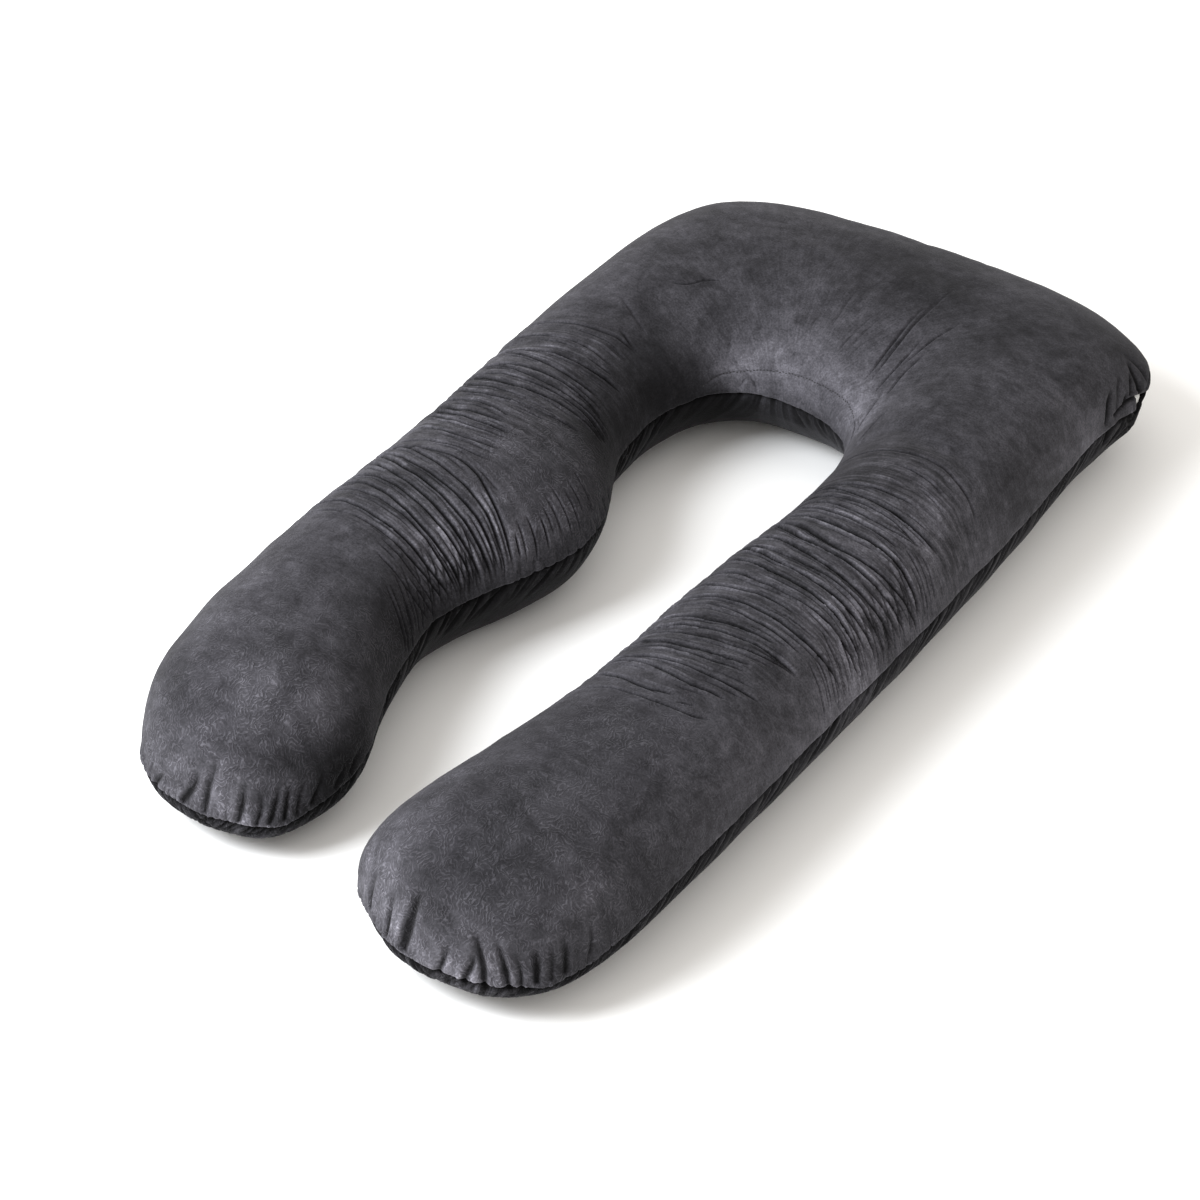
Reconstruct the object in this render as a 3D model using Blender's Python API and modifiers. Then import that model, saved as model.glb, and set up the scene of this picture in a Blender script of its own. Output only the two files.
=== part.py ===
"""A U-shaped body pillow of velvet, lying flat on its back.

Two velvet panels meet in one seam that runs all round the pillow at about half its height.
The filled shape is a loft: each row of its cage runs from the outer seam, over the crown,
to the inner seam and back under the pillow, and the rows follow the U from the tip of the
left arm, round the head, to the tip of the right arm. Where the velvet is puckered across
an arm, every second row of the cage is pressed in as the valley of a fold.
At the far right corner the seam gapes, and the white inner casing shows in it.
Metres, +Z up, head towards +Y, the origin on the floor at the middle of the pillow.
"""

import math

import bmesh
import bpy
from mathutils import Matrix, Vector

# Driving sizes of the filled pillow.
LENGTH = 1.400
WIDTH = 0.700
HEIGHT = 0.200
MILLIMETRE = 0.001

# How far from its tip an arm is rounded off, and how square that rounding is.
TIP_LENGTH = 0.105
TIP_SQUARENESS = 2.3

# The points round a section of the cage, each as a share of the half width and a share of
# the rise above the seam or of the fall below it. The cage is larger than the pillow that its subdivision
# rounds off, and what falls below the floor is pressed flat on it.
OVER_THE_TOP = (
    (1.03, 0.00),
    (0.93, 0.54),
    (0.40, 1.04),
    (-0.40, 1.04),
    (-0.93, 0.54),
    (-1.03, 0.00),
)
UNDERNEATH = (
    (-0.89, -0.60),
    (-0.50, -1.14),
    (0.50, -1.14),
    (0.89, -0.60),
)

# One row for each section of the pillow, in millimetres. "outer" and "inner" are where the
# seam lies on either side, "seam" and "crown" are heights, "bow" is how far the middle of
# the section leans towards the tip of its arm, "rows" is how many cage rows lead to the next
# section, and "fold_out" and "fold_in" are how deep the folds between them are pressed in
# on the outer and on the inner half.
SECTION_COLUMNS = (
    "outer_x", "outer_y", "inner_x", "inner_y", "seam", "crown", "bow", "rows", "fold_out", "fold_in",
)
SECTIONS = (
    (-286, -601, -98, -603, 52, 180, 40, 1, 0, 0),
    (-299, -585, -87, -588, 54, 183, 40, 1, 0, 0),
    (-315, -556, -72, -556, 60, 187, 37, 1, 0, 0),
    (-331, -520, -61, -515, 70, 190, 30, 1, 0, 0),
    (-340, -475, -66, -475, 80, 192, 22, 1, 0, 0),
    (-345, -425, -86, -430, 87, 194, 14, 2, 0, 0),
    (-348, -320, -114, -330, 92, 195, 2, 4, 3, 5),
    (-350, -240, -127, -260, 92, 196, -4, 4, 5, 8),
    (-350, -170, -113, -200, 92, 197, -6, 4, 6, 8),
    (-350, -110, -87, -135, 92, 198, -4, 4, 6, 4),
    (-350, -50, -66, -60, 92, 198, 0, 4, 6, 0),
    (-350, 20, -76, 5, 92, 198, 0, 4, 7, 2),
    (-350, 75, -105, 65, 92, 197, 0, 4, 7, 7),
    (-350, 130, -133, 125, 92, 196, 0, 4, 5, 6),
    (-350, 200, -142, 195, 92, 197, 0, 4, 3, 4),
    (-351, 280, -141, 235, 92, 198, 0, 2, 0, 0),
    (-352, 400, -128, 280, 92, 200, 0, 2, 0, 0),
    (-352, 530, -100, 314, 92, 200, 0, 2, 0, 0),
    (-318, 646, -64, 331, 92, 200, 0, 2, 0, 0),
    (-200, 692, -34, 335, 92, 200, 0, 2, 0, 0),
    (0, 704, 0, 334, 92, 200, 0, 2, 0, 0),
    (200, 694, 36, 326, 92, 200, 0, 2, 0, 0),
    (318, 654, 64, 314, 92, 200, 0, 2, 0, 0),
    (352, 560, 92, 292, 92, 200, 0, 2, 0, 0),
    (343, 450, 112, 258, 92, 200, 0, 2, 0, 0),
    (348, 310, 125, 210, 92, 198, 0, 4, 3, 3),
    (350, 195, 126, 160, 92, 197, 0, 4, 4, 4),
    (350, 110, 126, 105, 92, 196, 0, 4, 5, 6),
    (351, 50, 122, 50, 92, 196, 0, 4, 7, 7),
    (350, -10, 115, -10, 92, 196, 0, 4, 8, 7),
    (349, -70, 109, -70, 92, 196, 0, 4, 8, 7),
    (348, -130, 105, -130, 92, 196, 0, 4, 7, 7),
    (347, -190, 104, -195, 92, 196, 2, 4, 5, 7),
    (345, -255, 103, -260, 92, 196, 4, 4, 2, 6),
    (344, -320, 98, -330, 92, 196, 6, 3, 0, 3),
    (341, -440, 80, -440, 90, 196, 14, 2, 0, 0),
    (336, -526, 55, -530, 80, 195, 24, 1, 0, 0),
    (329, -568, 41, -572, 70, 194, 32, 1, 0, 0),
    (318, -608, 36, -609, 60, 192, 40, 1, 0, 0),
    (303, -642, 43, -639, 54, 190, 48, 1, 0, 0),
    (288, -660, 56, -654, 52, 188, 52, 0, 0, 0),
)

# The gape in the seam at the far right corner, and the casing that shows in it.
GAPE_PLACE = Vector((0.343, 0.590, 0.091))
GAPE_TURN = math.radians(12)
GAPE_HALF_SIZES = Vector((0.010, 0.022, 0.008))
GAPE_SEGMENTS = 12
GAPE_RINGS = 8
CASING_CLEARANCE = 0.0004
CASING_DEPTH = 0.0015

VELVET_COLOUR = (0.060, 0.057, 0.066)
VELVET_ROUGHNESS = 0.85
CASING_COLOUR = (0.80, 0.80, 0.79)
CASING_ROUGHNESS = 0.90


def new_collection(name):
    """A new collection in the scene."""
    collection = bpy.data.collections.new(name)
    bpy.context.scene.collection.children.link(collection)
    return collection


def cloth_material(name, colour, roughness):
    """A plain cloth material."""
    material = bpy.data.materials.new(name)
    material.use_nodes = True
    shader = material.node_tree.nodes["Principled BSDF"]
    shader.inputs["Base Color"].default_value = (*colour, 1.0)
    shader.inputs["Roughness"].default_value = roughness
    shader.inputs["Metallic"].default_value = 0.0
    material.diffuse_color = (*colour, 1.0)
    return material


def smooth_between(before, start, end, after, share):
    """A Catmull-Rom value between start and end."""
    slope_in = (end - before) / 2
    slope_out = (after - start) / 2
    rise = end - start
    cubic = slope_in + slope_out - 2 * rise
    square = 3 * rise - 2 * slope_in - slope_out
    return start + share * (slope_in + share * (square + share * cubic))


def cage_sections():
    """The sections of the table and the rows between them, as dictionaries in metres."""
    last = len(SECTIONS) - 1
    rows_column = SECTION_COLUMNS.index("rows")
    found = []
    for index, section in enumerate(SECTIONS):
        rows = max(section[rows_column], 1)
        neighbours = [SECTIONS[min(max(index + shift, 0), last)] for shift in (-1, 0, 1, 2)]
        for row in range(rows):
            values = [
                smooth_between(*column, row / rows) * MILLIMETRE
                for column in zip(*neighbours)
            ]
            found.append(dict(zip(SECTION_COLUMNS, values)))
    return found


def middle(section):
    """The point halfway between a section's two seams, in plan."""
    outer = Vector((section["outer_x"], section["outer_y"]))
    inner = Vector((section["inner_x"], section["inner_y"]))
    return (outer + inner) / 2


def fullness(index, sections):
    """0 at the tip of an arm, and 1 where its rounded end has reached the full height."""
    own = middle(sections[index])
    tips = (sections[0], sections[-1])
    distance = min((own - middle(tip)).length for tip in tips)
    hollow = 1.0 - min(distance / TIP_LENGTH, 1.0)
    return (1.0 - hollow ** TIP_SQUARENESS) ** (1.0 / TIP_SQUARENESS)


def towards_tip(index, sections):
    """The direction in plan from a section towards the tip of its arm."""
    step = -1 if index < len(sections) / 2 else 1
    near = min(max(index + step, 0), len(sections) - 1)
    return (middle(sections[near]) - middle(sections[near - step])).normalized()


def ring_points(index, sections):
    """The cage points round one section: outer seam, crown, inner seam, underside."""
    section = sections[index]
    outer = Vector((section["outer_x"], section["outer_y"]))
    inner = Vector((section["inner_x"], section["inner_y"]))
    outward = (outer - inner).normalized()
    half = (outer - inner).length / 2
    full = fullness(index, sections)
    forward = towards_tip(index, sections)
    rise = (section["crown"] - section["seam"]) * full
    fall = section["seam"] * full
    is_valley = index % 2 == 1

    points = []
    for across, up in OVER_THE_TOP + UNDERNEATH:
        plan = middle(section) + outward * across * half
        plan += forward * section["bow"] * (1 - min(abs(across), 1.0) ** 2)
        height = section["seam"] + up * (rise if up > 0 else fall)
        if is_valley and up > 0:
            depth = max(section["fold_out"] if across > 0 else section["fold_in"], 0.0)
            into_side = outward * across * depth
            plan -= into_side
            height -= depth * up
        points.append(Vector((*plan, height)))
    return points


def pillow_cage():
    """The pillow's cage of quads, closed at both tips along the seam."""
    sections = cage_sections()
    last = len(sections) - 1
    on_top = len(OVER_THE_TOP)
    around = on_top + len(UNDERNEATH)
    cage = bmesh.new()
    rings = []
    for index in range(len(sections)):
        points = ring_points(index, sections)
        ring = [cage.verts.new(point) for point in points[:on_top]]
        if index in (0, last):
            ring += ring[-2:0:-1]
        else:
            ring += [cage.verts.new(point) for point in points[on_top:]]
        rings.append(ring)
    for ring, following in zip(rings, rings[1:]):
        for number in range(around):
            turn = (number + 1) % around
            cage.faces.new((ring[number], ring[turn], following[turn], following[number]))
    bmesh.ops.recalc_face_normals(cage, faces=cage.faces)
    return cage


def rounded(cage):
    """The cage's subdivided surface, as a new bmesh."""
    mesh = bpy.data.meshes.new("cage")
    cage.to_mesh(mesh)
    cage.free()
    rough = bpy.data.objects.new("cage", mesh)
    bpy.context.scene.collection.objects.link(rough)
    rounding = rough.modifiers.new("rounding", "SUBSURF")
    rounding.levels = 1
    rounding.render_levels = 1
    graph = bpy.context.evaluated_depsgraph_get()
    smooth = bmesh.new()
    smooth.from_object(rough, graph)
    bpy.data.objects.remove(rough)
    bpy.data.meshes.remove(mesh)
    return smooth


def press_on_floor(shape):
    """Everything below the floor is pressed flat on it, and that flat becomes one face."""
    for vertex in shape.verts:
        vertex.co.z = max(vertex.co.z, 0.0)
    flat = [face for face in shape.faces if all(vertex.co.z == 0.0 for vertex in face.verts)]
    bmesh.ops.dissolve_faces(shape, faces=flat, use_verts=False)


def fit_to_sizes(shape):
    """Bring the shape to its exact width, length and height, with the origin under its middle."""
    lowest = Vector([min(vertex.co[axis] for vertex in shape.verts) for axis in range(3)])
    highest = Vector([max(vertex.co[axis] for vertex in shape.verts) for axis in range(3)])
    for axis, size in enumerate((WIDTH, LENGTH, HEIGHT)):
        scale = size / (highest[axis] - lowest[axis])
        start = 0.0 if axis == 2 else -size / 2
        for vertex in shape.verts:
            vertex.co[axis] = start + (vertex.co[axis] - lowest[axis]) * scale


def gape_shape(shrink):
    """A lens at the gape, smaller all round by shrink."""
    lens = bmesh.new()
    bmesh.ops.create_uvsphere(lens, u_segments=GAPE_SEGMENTS, v_segments=GAPE_RINGS, radius=1.0)
    half_sizes = GAPE_HALF_SIZES - Vector((shrink, shrink, shrink))
    place = (
        Matrix.Translation(GAPE_PLACE)
        @ Matrix.Rotation(GAPE_TURN, 4, "Z")
        @ Matrix.Diagonal((*half_sizes, 1.0))
    )
    bmesh.ops.transform(lens, matrix=place, verts=lens.verts)
    return lens


def as_object(shape, name, collection):
    """An object with this shape, which is freed."""
    mesh = bpy.data.meshes.new(name)
    shape.to_mesh(mesh)
    shape.free()
    made = bpy.data.objects.new(name, mesh)
    collection.objects.link(made)
    return made


def build_pillow(collection, gape_cutter):
    """The filled velvet pillow as one closed solid, gaping at its far right corner."""
    shape = rounded(pillow_cage())
    press_on_floor(shape)
    fit_to_sizes(shape)
    pillow = as_object(shape, "pillow", collection)
    pillow.data.materials.append(cloth_material("velvet", VELVET_COLOUR, VELVET_ROUGHNESS))
    gape = pillow.modifiers.new("gape", "BOOLEAN")
    gape.operation = "DIFFERENCE"
    gape.solver = "EXACT"
    gape.object = gape_cutter
    return pillow


def build_gape_cutter(collection):
    """What is cut from the seam where it gapes."""
    cutter = as_object(gape_shape(0.0), "gape_cutter", collection)
    cutter.hide_render = True
    cutter.display_type = "WIRE"
    return cutter


def build_casing(collection):
    """The white inner casing, seated in the gape and a little below the velvet round it."""
    lens = gape_shape(CASING_CLEARANCE)
    facing = Matrix.Rotation(GAPE_TURN, 3, "Z") @ Vector((1.0, 0.0, 0.0))
    cut = bmesh.ops.bisect_plane(
        lens,
        geom=lens.verts[:] + lens.edges[:] + lens.faces[:],
        plane_co=GAPE_PLACE - facing * CASING_DEPTH,
        plane_no=facing,
        clear_outer=True,
    )
    rim = [item for item in cut["geom_cut"] if isinstance(item, bmesh.types.BMEdge)]
    bmesh.ops.holes_fill(lens, edges=rim)
    bmesh.ops.recalc_face_normals(lens, faces=lens.faces)
    casing = as_object(lens, "inner_casing", collection)
    casing.data.materials.append(cloth_material("casing_cloth", CASING_COLOUR, CASING_ROUGHNESS))
    return casing


def main():
    for old in list(bpy.data.objects):
        bpy.data.objects.remove(old, do_unlink=True)
    pieces = new_collection("body pillow")
    cutters = new_collection("cutters")
    gape_cutter = build_gape_cutter(cutters)
    build_pillow(pieces, gape_cutter)
    build_casing(pieces)


main()
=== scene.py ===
# %% [markdown]
# # A velvet body pillow
# A body pillow of this kind is two panels of velvet, cut to the same U, sewn together all
# round and stuffed with loose fibre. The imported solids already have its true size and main
# form. This lesson dresses them: a softer cover with its puckers, the seam, the short line
# of topstitching, the gape at one corner, and velvet that changes with the light.

import math
import random

import bmesh
import bpy
import numpy as np
from mathutils import Matrix, Vector
from mathutils.bvhtree import BVHTree
from mathutils.kdtree import KDTree


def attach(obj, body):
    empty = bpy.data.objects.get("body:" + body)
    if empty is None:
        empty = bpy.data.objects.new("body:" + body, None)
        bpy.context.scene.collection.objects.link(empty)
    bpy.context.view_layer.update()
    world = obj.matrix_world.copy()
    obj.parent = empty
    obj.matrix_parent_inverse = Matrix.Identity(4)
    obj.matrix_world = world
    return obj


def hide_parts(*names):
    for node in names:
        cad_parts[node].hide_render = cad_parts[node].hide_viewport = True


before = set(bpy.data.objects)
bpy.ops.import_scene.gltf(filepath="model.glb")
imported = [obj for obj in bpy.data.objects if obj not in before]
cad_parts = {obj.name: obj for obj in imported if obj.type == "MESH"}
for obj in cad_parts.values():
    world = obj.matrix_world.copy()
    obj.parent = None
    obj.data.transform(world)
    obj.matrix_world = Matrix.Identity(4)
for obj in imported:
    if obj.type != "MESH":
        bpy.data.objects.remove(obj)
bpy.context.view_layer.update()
MM = 0.001

# %% [markdown]
# ## The camera
# The pillow is seen from beyond its arms' tips, a little to the right and well above, with
# a long lens. The camera is placed by its direction from a point on the floor's level of
# the pillow's middle, because those few angles are easier to read than a matrix.

# %% Place the camera
PICTURE_SIDE = 1200
SENSOR_WIDTH = 36.0
FOCAL_PIXELS = 3576.8
AZIMUTH = math.radians(33.084)
ELEVATION = math.radians(37.220)
DISTANCE = 4.098
LOOKS_AT = Vector((0.0144, -0.1359, 0.100))


def add_camera():
    """A camera that looks at the pillow from the chosen direction."""
    lens = bpy.data.cameras.new("camera")
    lens.sensor_width = SENSOR_WIDTH
    lens.lens = FOCAL_PIXELS / PICTURE_SIDE * SENSOR_WIDTH
    camera = bpy.data.objects.new("camera", lens)
    bpy.context.scene.collection.objects.link(camera)
    back = Vector((
        math.sin(AZIMUTH) * math.cos(ELEVATION),
        -math.cos(AZIMUTH) * math.cos(ELEVATION),
        math.sin(ELEVATION),
    ))
    camera.location = LOOKS_AT + back * DISTANCE
    camera.rotation_euler = (-back).to_track_quat("-Z", "Y").to_euler()
    bpy.context.scene.camera = camera
    return camera


camera = add_camera()
print("lens", round(camera.data.lens, 1), "mm")

# %% [markdown]
# ## The stage and the light
# The pillow lies on a plain white floor. A bright, slightly warm sky leaves only short soft
# shadows beside the arms. One large panel of cooler light, half high in front and to the
# left, rakes across the pile and lights the front and left slopes. The velvet's colour also
# has painted light there: paler on those slopes and darker on the crown.

# %% Lay the floor and hang the lights
FLOOR_SIDE = 40.0
FLOOR_COLOUR = (0.95, 0.95, 0.94, 1.0)
FLOOR_ROUGHNESS = 0.9
SKY_COLOUR = (1.0, 0.967, 0.930, 1.0)
SKY_STRENGTH = 1.02
KEY_PLACE = Vector((-1.75, -2.10, 2.60))
KEY_AIM = Vector((0.0, 0.0, 0.1))
KEY_SIDE = 2.0
KEY_WATTS = 205.0
KEY_COLOUR = (0.93, 0.96, 1.0)


def piece_from(shape, name):
    """An object in the scene made of a bmesh, which is used up."""
    mesh = bpy.data.meshes.new(name)
    shape.to_mesh(mesh)
    shape.free()
    piece = bpy.data.objects.new(name, mesh)
    bpy.context.scene.collection.objects.link(piece)
    return piece


def add_floor():
    """A large flat floor just under the pillow, of one plain colour."""
    shape = bmesh.new()
    bmesh.ops.create_grid(shape, x_segments=1, y_segments=1, size=FLOOR_SIDE / 2)
    floor = piece_from(shape, "floor")
    paint = bpy.data.materials.new("floor_paint")
    paint.use_nodes = True
    shader = paint.node_tree.nodes["Principled BSDF"]
    shader.inputs["Base Color"].default_value = FLOOR_COLOUR
    shader.inputs["Roughness"].default_value = FLOOR_ROUGHNESS
    floor.data.materials.append(paint)


def add_sky():
    """An even sky of a warm white, which is what lights the shadows."""
    world = bpy.data.worlds.new("studio")
    bpy.context.scene.world = world
    world.use_nodes = True
    sky = world.node_tree.nodes["Background"]
    sky.inputs["Color"].default_value = SKY_COLOUR
    sky.inputs["Strength"].default_value = SKY_STRENGTH


def add_key():
    """The square panel of light, turned to its aim."""
    light = bpy.data.lights.new("key", "AREA")
    light.size = KEY_SIDE
    light.energy = KEY_WATTS
    light.color = KEY_COLOUR
    panel = bpy.data.objects.new("key", light)
    bpy.context.scene.collection.objects.link(panel)
    panel.location = KEY_PLACE
    panel.rotation_euler = (KEY_AIM - KEY_PLACE).to_track_quat("-Z", "Y").to_euler()


add_floor()
add_sky()
add_key()
bpy.context.scene.view_settings.view_transform = "Standard"
print("the key light is", round((KEY_AIM - KEY_PLACE).length, 2), "m from its aim")

# %% [markdown]
# ## The filled cover
# A stuffed cover is a crowned closed form. It starts as a copy of the solid, which is given
# even quads by a voxel remesh and smoothed, and so made a little too small. The cloth
# simulation then blows it up again: pressure inside and no gravity, and no point may
# end far from where the solid has it. Pressure makes the arms rounder than loose stuffing
# does, so their sides are filled out a little more at the end.

# %% Remesh a copy of the solid
VOXEL = 9 * MM
SMOOTHING = 0.5
SMOOTHING_ROUNDS = 14
JOINED_REACH = 0.01 * MM


def applied(piece):
    """Make a piece's modifiers part of its mesh."""
    graph = bpy.context.evaluated_depsgraph_get()
    mesh = bpy.data.meshes.new_from_object(piece.evaluated_get(graph))
    piece.modifiers.clear()
    piece.data = mesh
    return piece


def merged_copy(node, name):
    """A copy of a node of the solids, with its loose triangles joined."""
    shape = bmesh.new()
    shape.from_mesh(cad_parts[node].data)
    bmesh.ops.remove_doubles(shape, verts=shape.verts, dist=JOINED_REACH)
    return piece_from(shape, name)


def points_of(piece):
    """A piece's points as rows of x, y and z."""
    found = np.empty(len(piece.data.vertices) * 3)
    piece.data.vertices.foreach_get("co", found)
    return found.reshape(-1, 3)


def move_points(piece, points):
    """Put a piece's points in new places."""
    piece.data.vertices.foreach_set("co", points.ravel())
    piece.data.update()


def outward_of(piece):
    """The unit direction out of the piece at each of its points."""
    found = np.empty(len(piece.data.vertices) * 3)
    piece.data.vertex_normals.foreach_get("vector", found)
    return found.reshape(-1, 3)


cover = merged_copy("pillow", "velvet_cover")
remesh = cover.modifiers.new("even_quads", "REMESH")
remesh.mode = "VOXEL"
remesh.voxel_size = VOXEL
applied(cover)
true_points = points_of(cover)
smoothing = cover.modifiers.new("smoothing", "SMOOTH")
smoothing.factor = SMOOTHING
smoothing.iterations = SMOOTHING_ROUNDS
applied(cover)
print("the cover starts with", len(cover.data.vertices), "points")

# %% Blow the cover up
PRESSURE = 4.0
CLOTH_QUALITY = 4
LAST_FRAME = 20
MOST_MOVED = 9 * MM
OFF_THE_SOLID = 4 * MM
SIDE_FILL = 4.5 * MM


def inflate(piece):
    """Cloth simulation with air pressure inside and no gravity."""
    cloth = piece.modifiers.new("stuffing", "CLOTH")
    cloth.settings.quality = CLOTH_QUALITY
    cloth.settings.use_pressure = True
    cloth.settings.uniform_pressure_force = PRESSURE
    cloth.settings.effector_weights.gravity = 0.0
    cloth.point_cache.frame_start = 1
    cloth.point_cache.frame_end = LAST_FRAME
    for number in range(1, LAST_FRAME + 1):
        bpy.context.scene.frame_set(number)
    applied(piece)
    bpy.context.scene.frame_set(1)


def held_near(points, anchors, reach):
    """The points, none further from its anchor than reach."""
    step = points - anchors
    length = np.linalg.norm(step, axis=1, keepdims=True)
    return anchors + step * np.minimum(1.0, reach / np.maximum(length, 1e-9))


started = points_of(cover)
inflate(cover)
blown = held_near(points_of(cover), started, MOST_MOVED)
blown = held_near(blown, true_points, OFF_THE_SOLID)
blown[:, :2] += outward_of(cover)[:, :2] * SIDE_FILL
blown[:, 2] = np.maximum(blown[:, 2], 0.0)
move_points(cover, blown)
moved = np.linalg.norm(blown - started, axis=1)
print("the stuffing moved the cover", round(moved.mean() / MM, 1), "mm on average")

rounding = cover.modifiers.new("rounding", "SUBSURF")
rounding.levels = 1
rounding.render_levels = 1
applied(cover)

# %% [markdown]
# ## Small changes of the form
# Where the velvet bags or is pulled tight, the cover leaves the even form of the stuffing by
# a few millimetres. Each change is a smooth push: a place, its reach, and which way it goes.

# %% Push the form
# Place and reach, then the push along x, y and z, all in millimetres.
PUSHES = (
    (336, 604, 118, 42, 9, 4, 0),
    (349, 485, 55, 60, -7, 0, 0),
    (64, -655, 30, 45, 4, 3, 0),
    (62, -640, 95, 35, -5, -2, 0),
    (115, -690, 38, 34, 0, -3, 0),
    (165, -697, 36, 38, 0, -6, 0),
    (232, -690, 36, 38, 2, -5, 0),
    (-325, -590, 40, 48, 4, 4, 0),
    (-232, -634, 36, 38, 0, -3, 0),
    (-170, -640, 36, 38, 0, -5, 0),
    (-105, -615, 40, 38, 4, -5, 0),
)


def hill(points, place, reach):
    """A smooth hill of height 1 round a place in millimetres."""
    gap = np.linalg.norm(points - np.array(place) * MM, axis=1)
    return np.exp(-((gap / (reach * MM)) ** 2))


pushed = points_of(cover)
for x, y, z, reach, *push in PUSHES:
    pushed += hill(pushed, (x, y, z), reach)[:, None] * np.array(push) * MM
move_points(cover, pushed)
print("pushed the form at", len(PUSHES), "places")

# %% [markdown]
# ## Where the seam runs
# The two panels meet at a little under half height, and nearer to the floor at the arms'
# tips. If the cover is sheared so that this line lies level, one flat cut finds it.

# %% Find the seam's course
# Heights of the seam along each arm, in millimetres: y, z.
SEAM_LEFT = ((-606, 52), (-590, 54), (-562, 60), (-518, 70), (-475, 80), (-430, 87), (-340, 92))
SEAM_RIGHT = ((-664, 52), (-646, 54), (-610, 60), (-570, 70), (-528, 80), (-440, 90), (-360, 92))
# The seam wanders up and down by this much, over these lengths along x and y.
SEAM_WANDER = 0.5 * MM
WANDER_LENGTHS = (37 * MM, 46 * MM)
# A cut moves no point, but takes those this near to it as lying on it.
CUT_REACH = 0.4 * MM
ON_THE_SEAM = 0.45 * MM


def seam_height(points):
    """The height of the seam at each point, in metres."""
    left = np.array(SEAM_LEFT) * MM
    right = np.array(SEAM_RIGHT) * MM
    on_left = np.interp(points[:, 1], left[:, 0], left[:, 1])
    on_right = np.interp(points[:, 1], right[:, 0], right[:, 1])
    wander = np.sin(points[:, :2] * 2 * math.pi / WANDER_LENGTHS).sum(axis=1) * SEAM_WANDER
    return np.where(points[:, 0] < 0, on_left, on_right) + wander


def cut_level(piece, rise):
    """Cut the piece's faces where they are this far above the seam, without parting them."""
    level = points_of(piece)
    heights = seam_height(level)
    level[:, 2] -= heights
    move_points(piece, level)
    shape = bmesh.new()
    shape.from_mesh(piece.data)
    bmesh.ops.bisect_plane(
        shape,
        geom=shape.verts[:] + shape.edges[:] + shape.faces[:],
        dist=CUT_REACH,
        plane_co=(0.0, 0.0, rise),
        plane_no=(0.0, 0.0, 1.0),
    )
    shape.to_mesh(piece.data)
    shape.free()
    level = points_of(piece)
    level[:, 2] += seam_height(level)
    move_points(piece, level)


def seam_course(piece):
    """The seam as one closed row of points, in order."""
    copy = bpy.data.objects.new("seam_finder", piece.data.copy())
    cut_level(copy, 0.0)
    points = points_of(copy)
    level = points[:, 2] - seam_height(points)
    shape = bmesh.new()
    shape.from_mesh(copy.data)
    shape.verts.ensure_lookup_table()
    on_seam = set(np.nonzero(np.abs(level) < ON_THE_SEAM)[0].tolist())
    first = min(on_seam, key=lambda number: points[number][1])
    course = [first]
    seen = {first}
    while True:
        here = shape.verts[course[-1]]
        ways = [edge.other_vert(here).index for edge in here.link_edges]
        ways = [way for way in ways if way in on_seam and way not in seen]
        if not ways:
            break
        nearest = min(ways, key=lambda way: abs(level[way]))
        course.append(nearest)
        seen.add(nearest)
    shape.free()
    bpy.data.objects.remove(copy)
    return points[course]


def walked_along(path):
    """How far along a path each of its points lies."""
    step = np.linalg.norm(np.diff(path, axis=0), axis=1)
    return np.concatenate(((0.0,), np.cumsum(step)))


seam = seam_course(cover)
seam_walked = walked_along(seam)
print("the seam has", len(seam), "points and is", round(seam_walked[-1], 2), "m long")

# %% [markdown]
# ## The puckers across the arms
# The cover is longer than the stuffing along both arms, so the velvet folds across them: sharp
# valleys about 20 mm apart between rounded ridges. Simulated folds would fall anywhere, so
# these are listed one by one, each with its depth and the width of its ridge.

# %% Tables of the main folds
# Each fold as four places in plan, then its depth and its width, all in millimetres.
RIGHT_FOLDS = (
    (225, 192, 270, 193, 312, 184, 338, 168, 1.6, 9),
    (198, 111, 226, 112, 255, 112, 282, 114, 3.0, 8),
    (170, 104, 221, 91, 280, 86, 327, 88, 4.5, 10),
    (168, 83, 214, 79, 265, 75, 310, 72, 4.0, 8),
    (173, 69, 219, 62, 271, 59, 314, 71, 3.5, 8),
    (163, 59, 206, 48, 255, 44, 299, 45, 4.5, 9),
    (169, 36, 235, 24, 305, 27, 345, 19, 5.0, 10),
    (166, 19, 238, -8, 314, -2, 349, 9, 4.5, 10),
    (144, 24, 209, -15, 294, -21, 346, -15, 5.5, 10),
    (159, -14, 224, -37, 296, -45, 344, -41, 5.5, 10),
    (161, -39, 224, -56, 290, -57, 338, -61, 5.0, 9),
    (150, -42, 214, -70, 290, -76, 341, -77, 6.0, 10),
    (154, -70, 216, -90, 290, -95, 340, -103, 5.5, 10),
    (160, -102, 229, -115, 301, -112, 344, -115, 5.5, 10),
    (148, -126, 186, -135, 228, -134, 271, -136, 4.5, 9),
    (149, -158, 217, -157, 289, -159, 339, -151, 5.5, 10),
    (152, -175, 200, -174, 254, -177, 302, -177, 4.0, 8),
    (149, -200, 189, -203, 234, -197, 278, -191, 5.0, 9),
    (149, -222, 204, -218, 263, -209, 313, -202, 5.0, 9),
    (151, -235, 205, -234, 266, -222, 315, -203, 3.5, 7),
    (151, -255, 191, -256, 235, -253, 276, -241, 5.0, 9),
    (153, -268, 192, -266, 236, -264, 277, -253, 3.5, 7),
    (167, -290, 214, -288, 265, -284, 307, -271, 4.0, 9),
    (153, -298, 194, -305, 241, -312, 282, -302, 4.5, 9),
    (146, -329, 175, -337, 209, -343, 241, -337, 4.0, 9),
    (223, -359, 246, -355, 269, -350, 287, -337, 2.5, 8),
)
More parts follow.
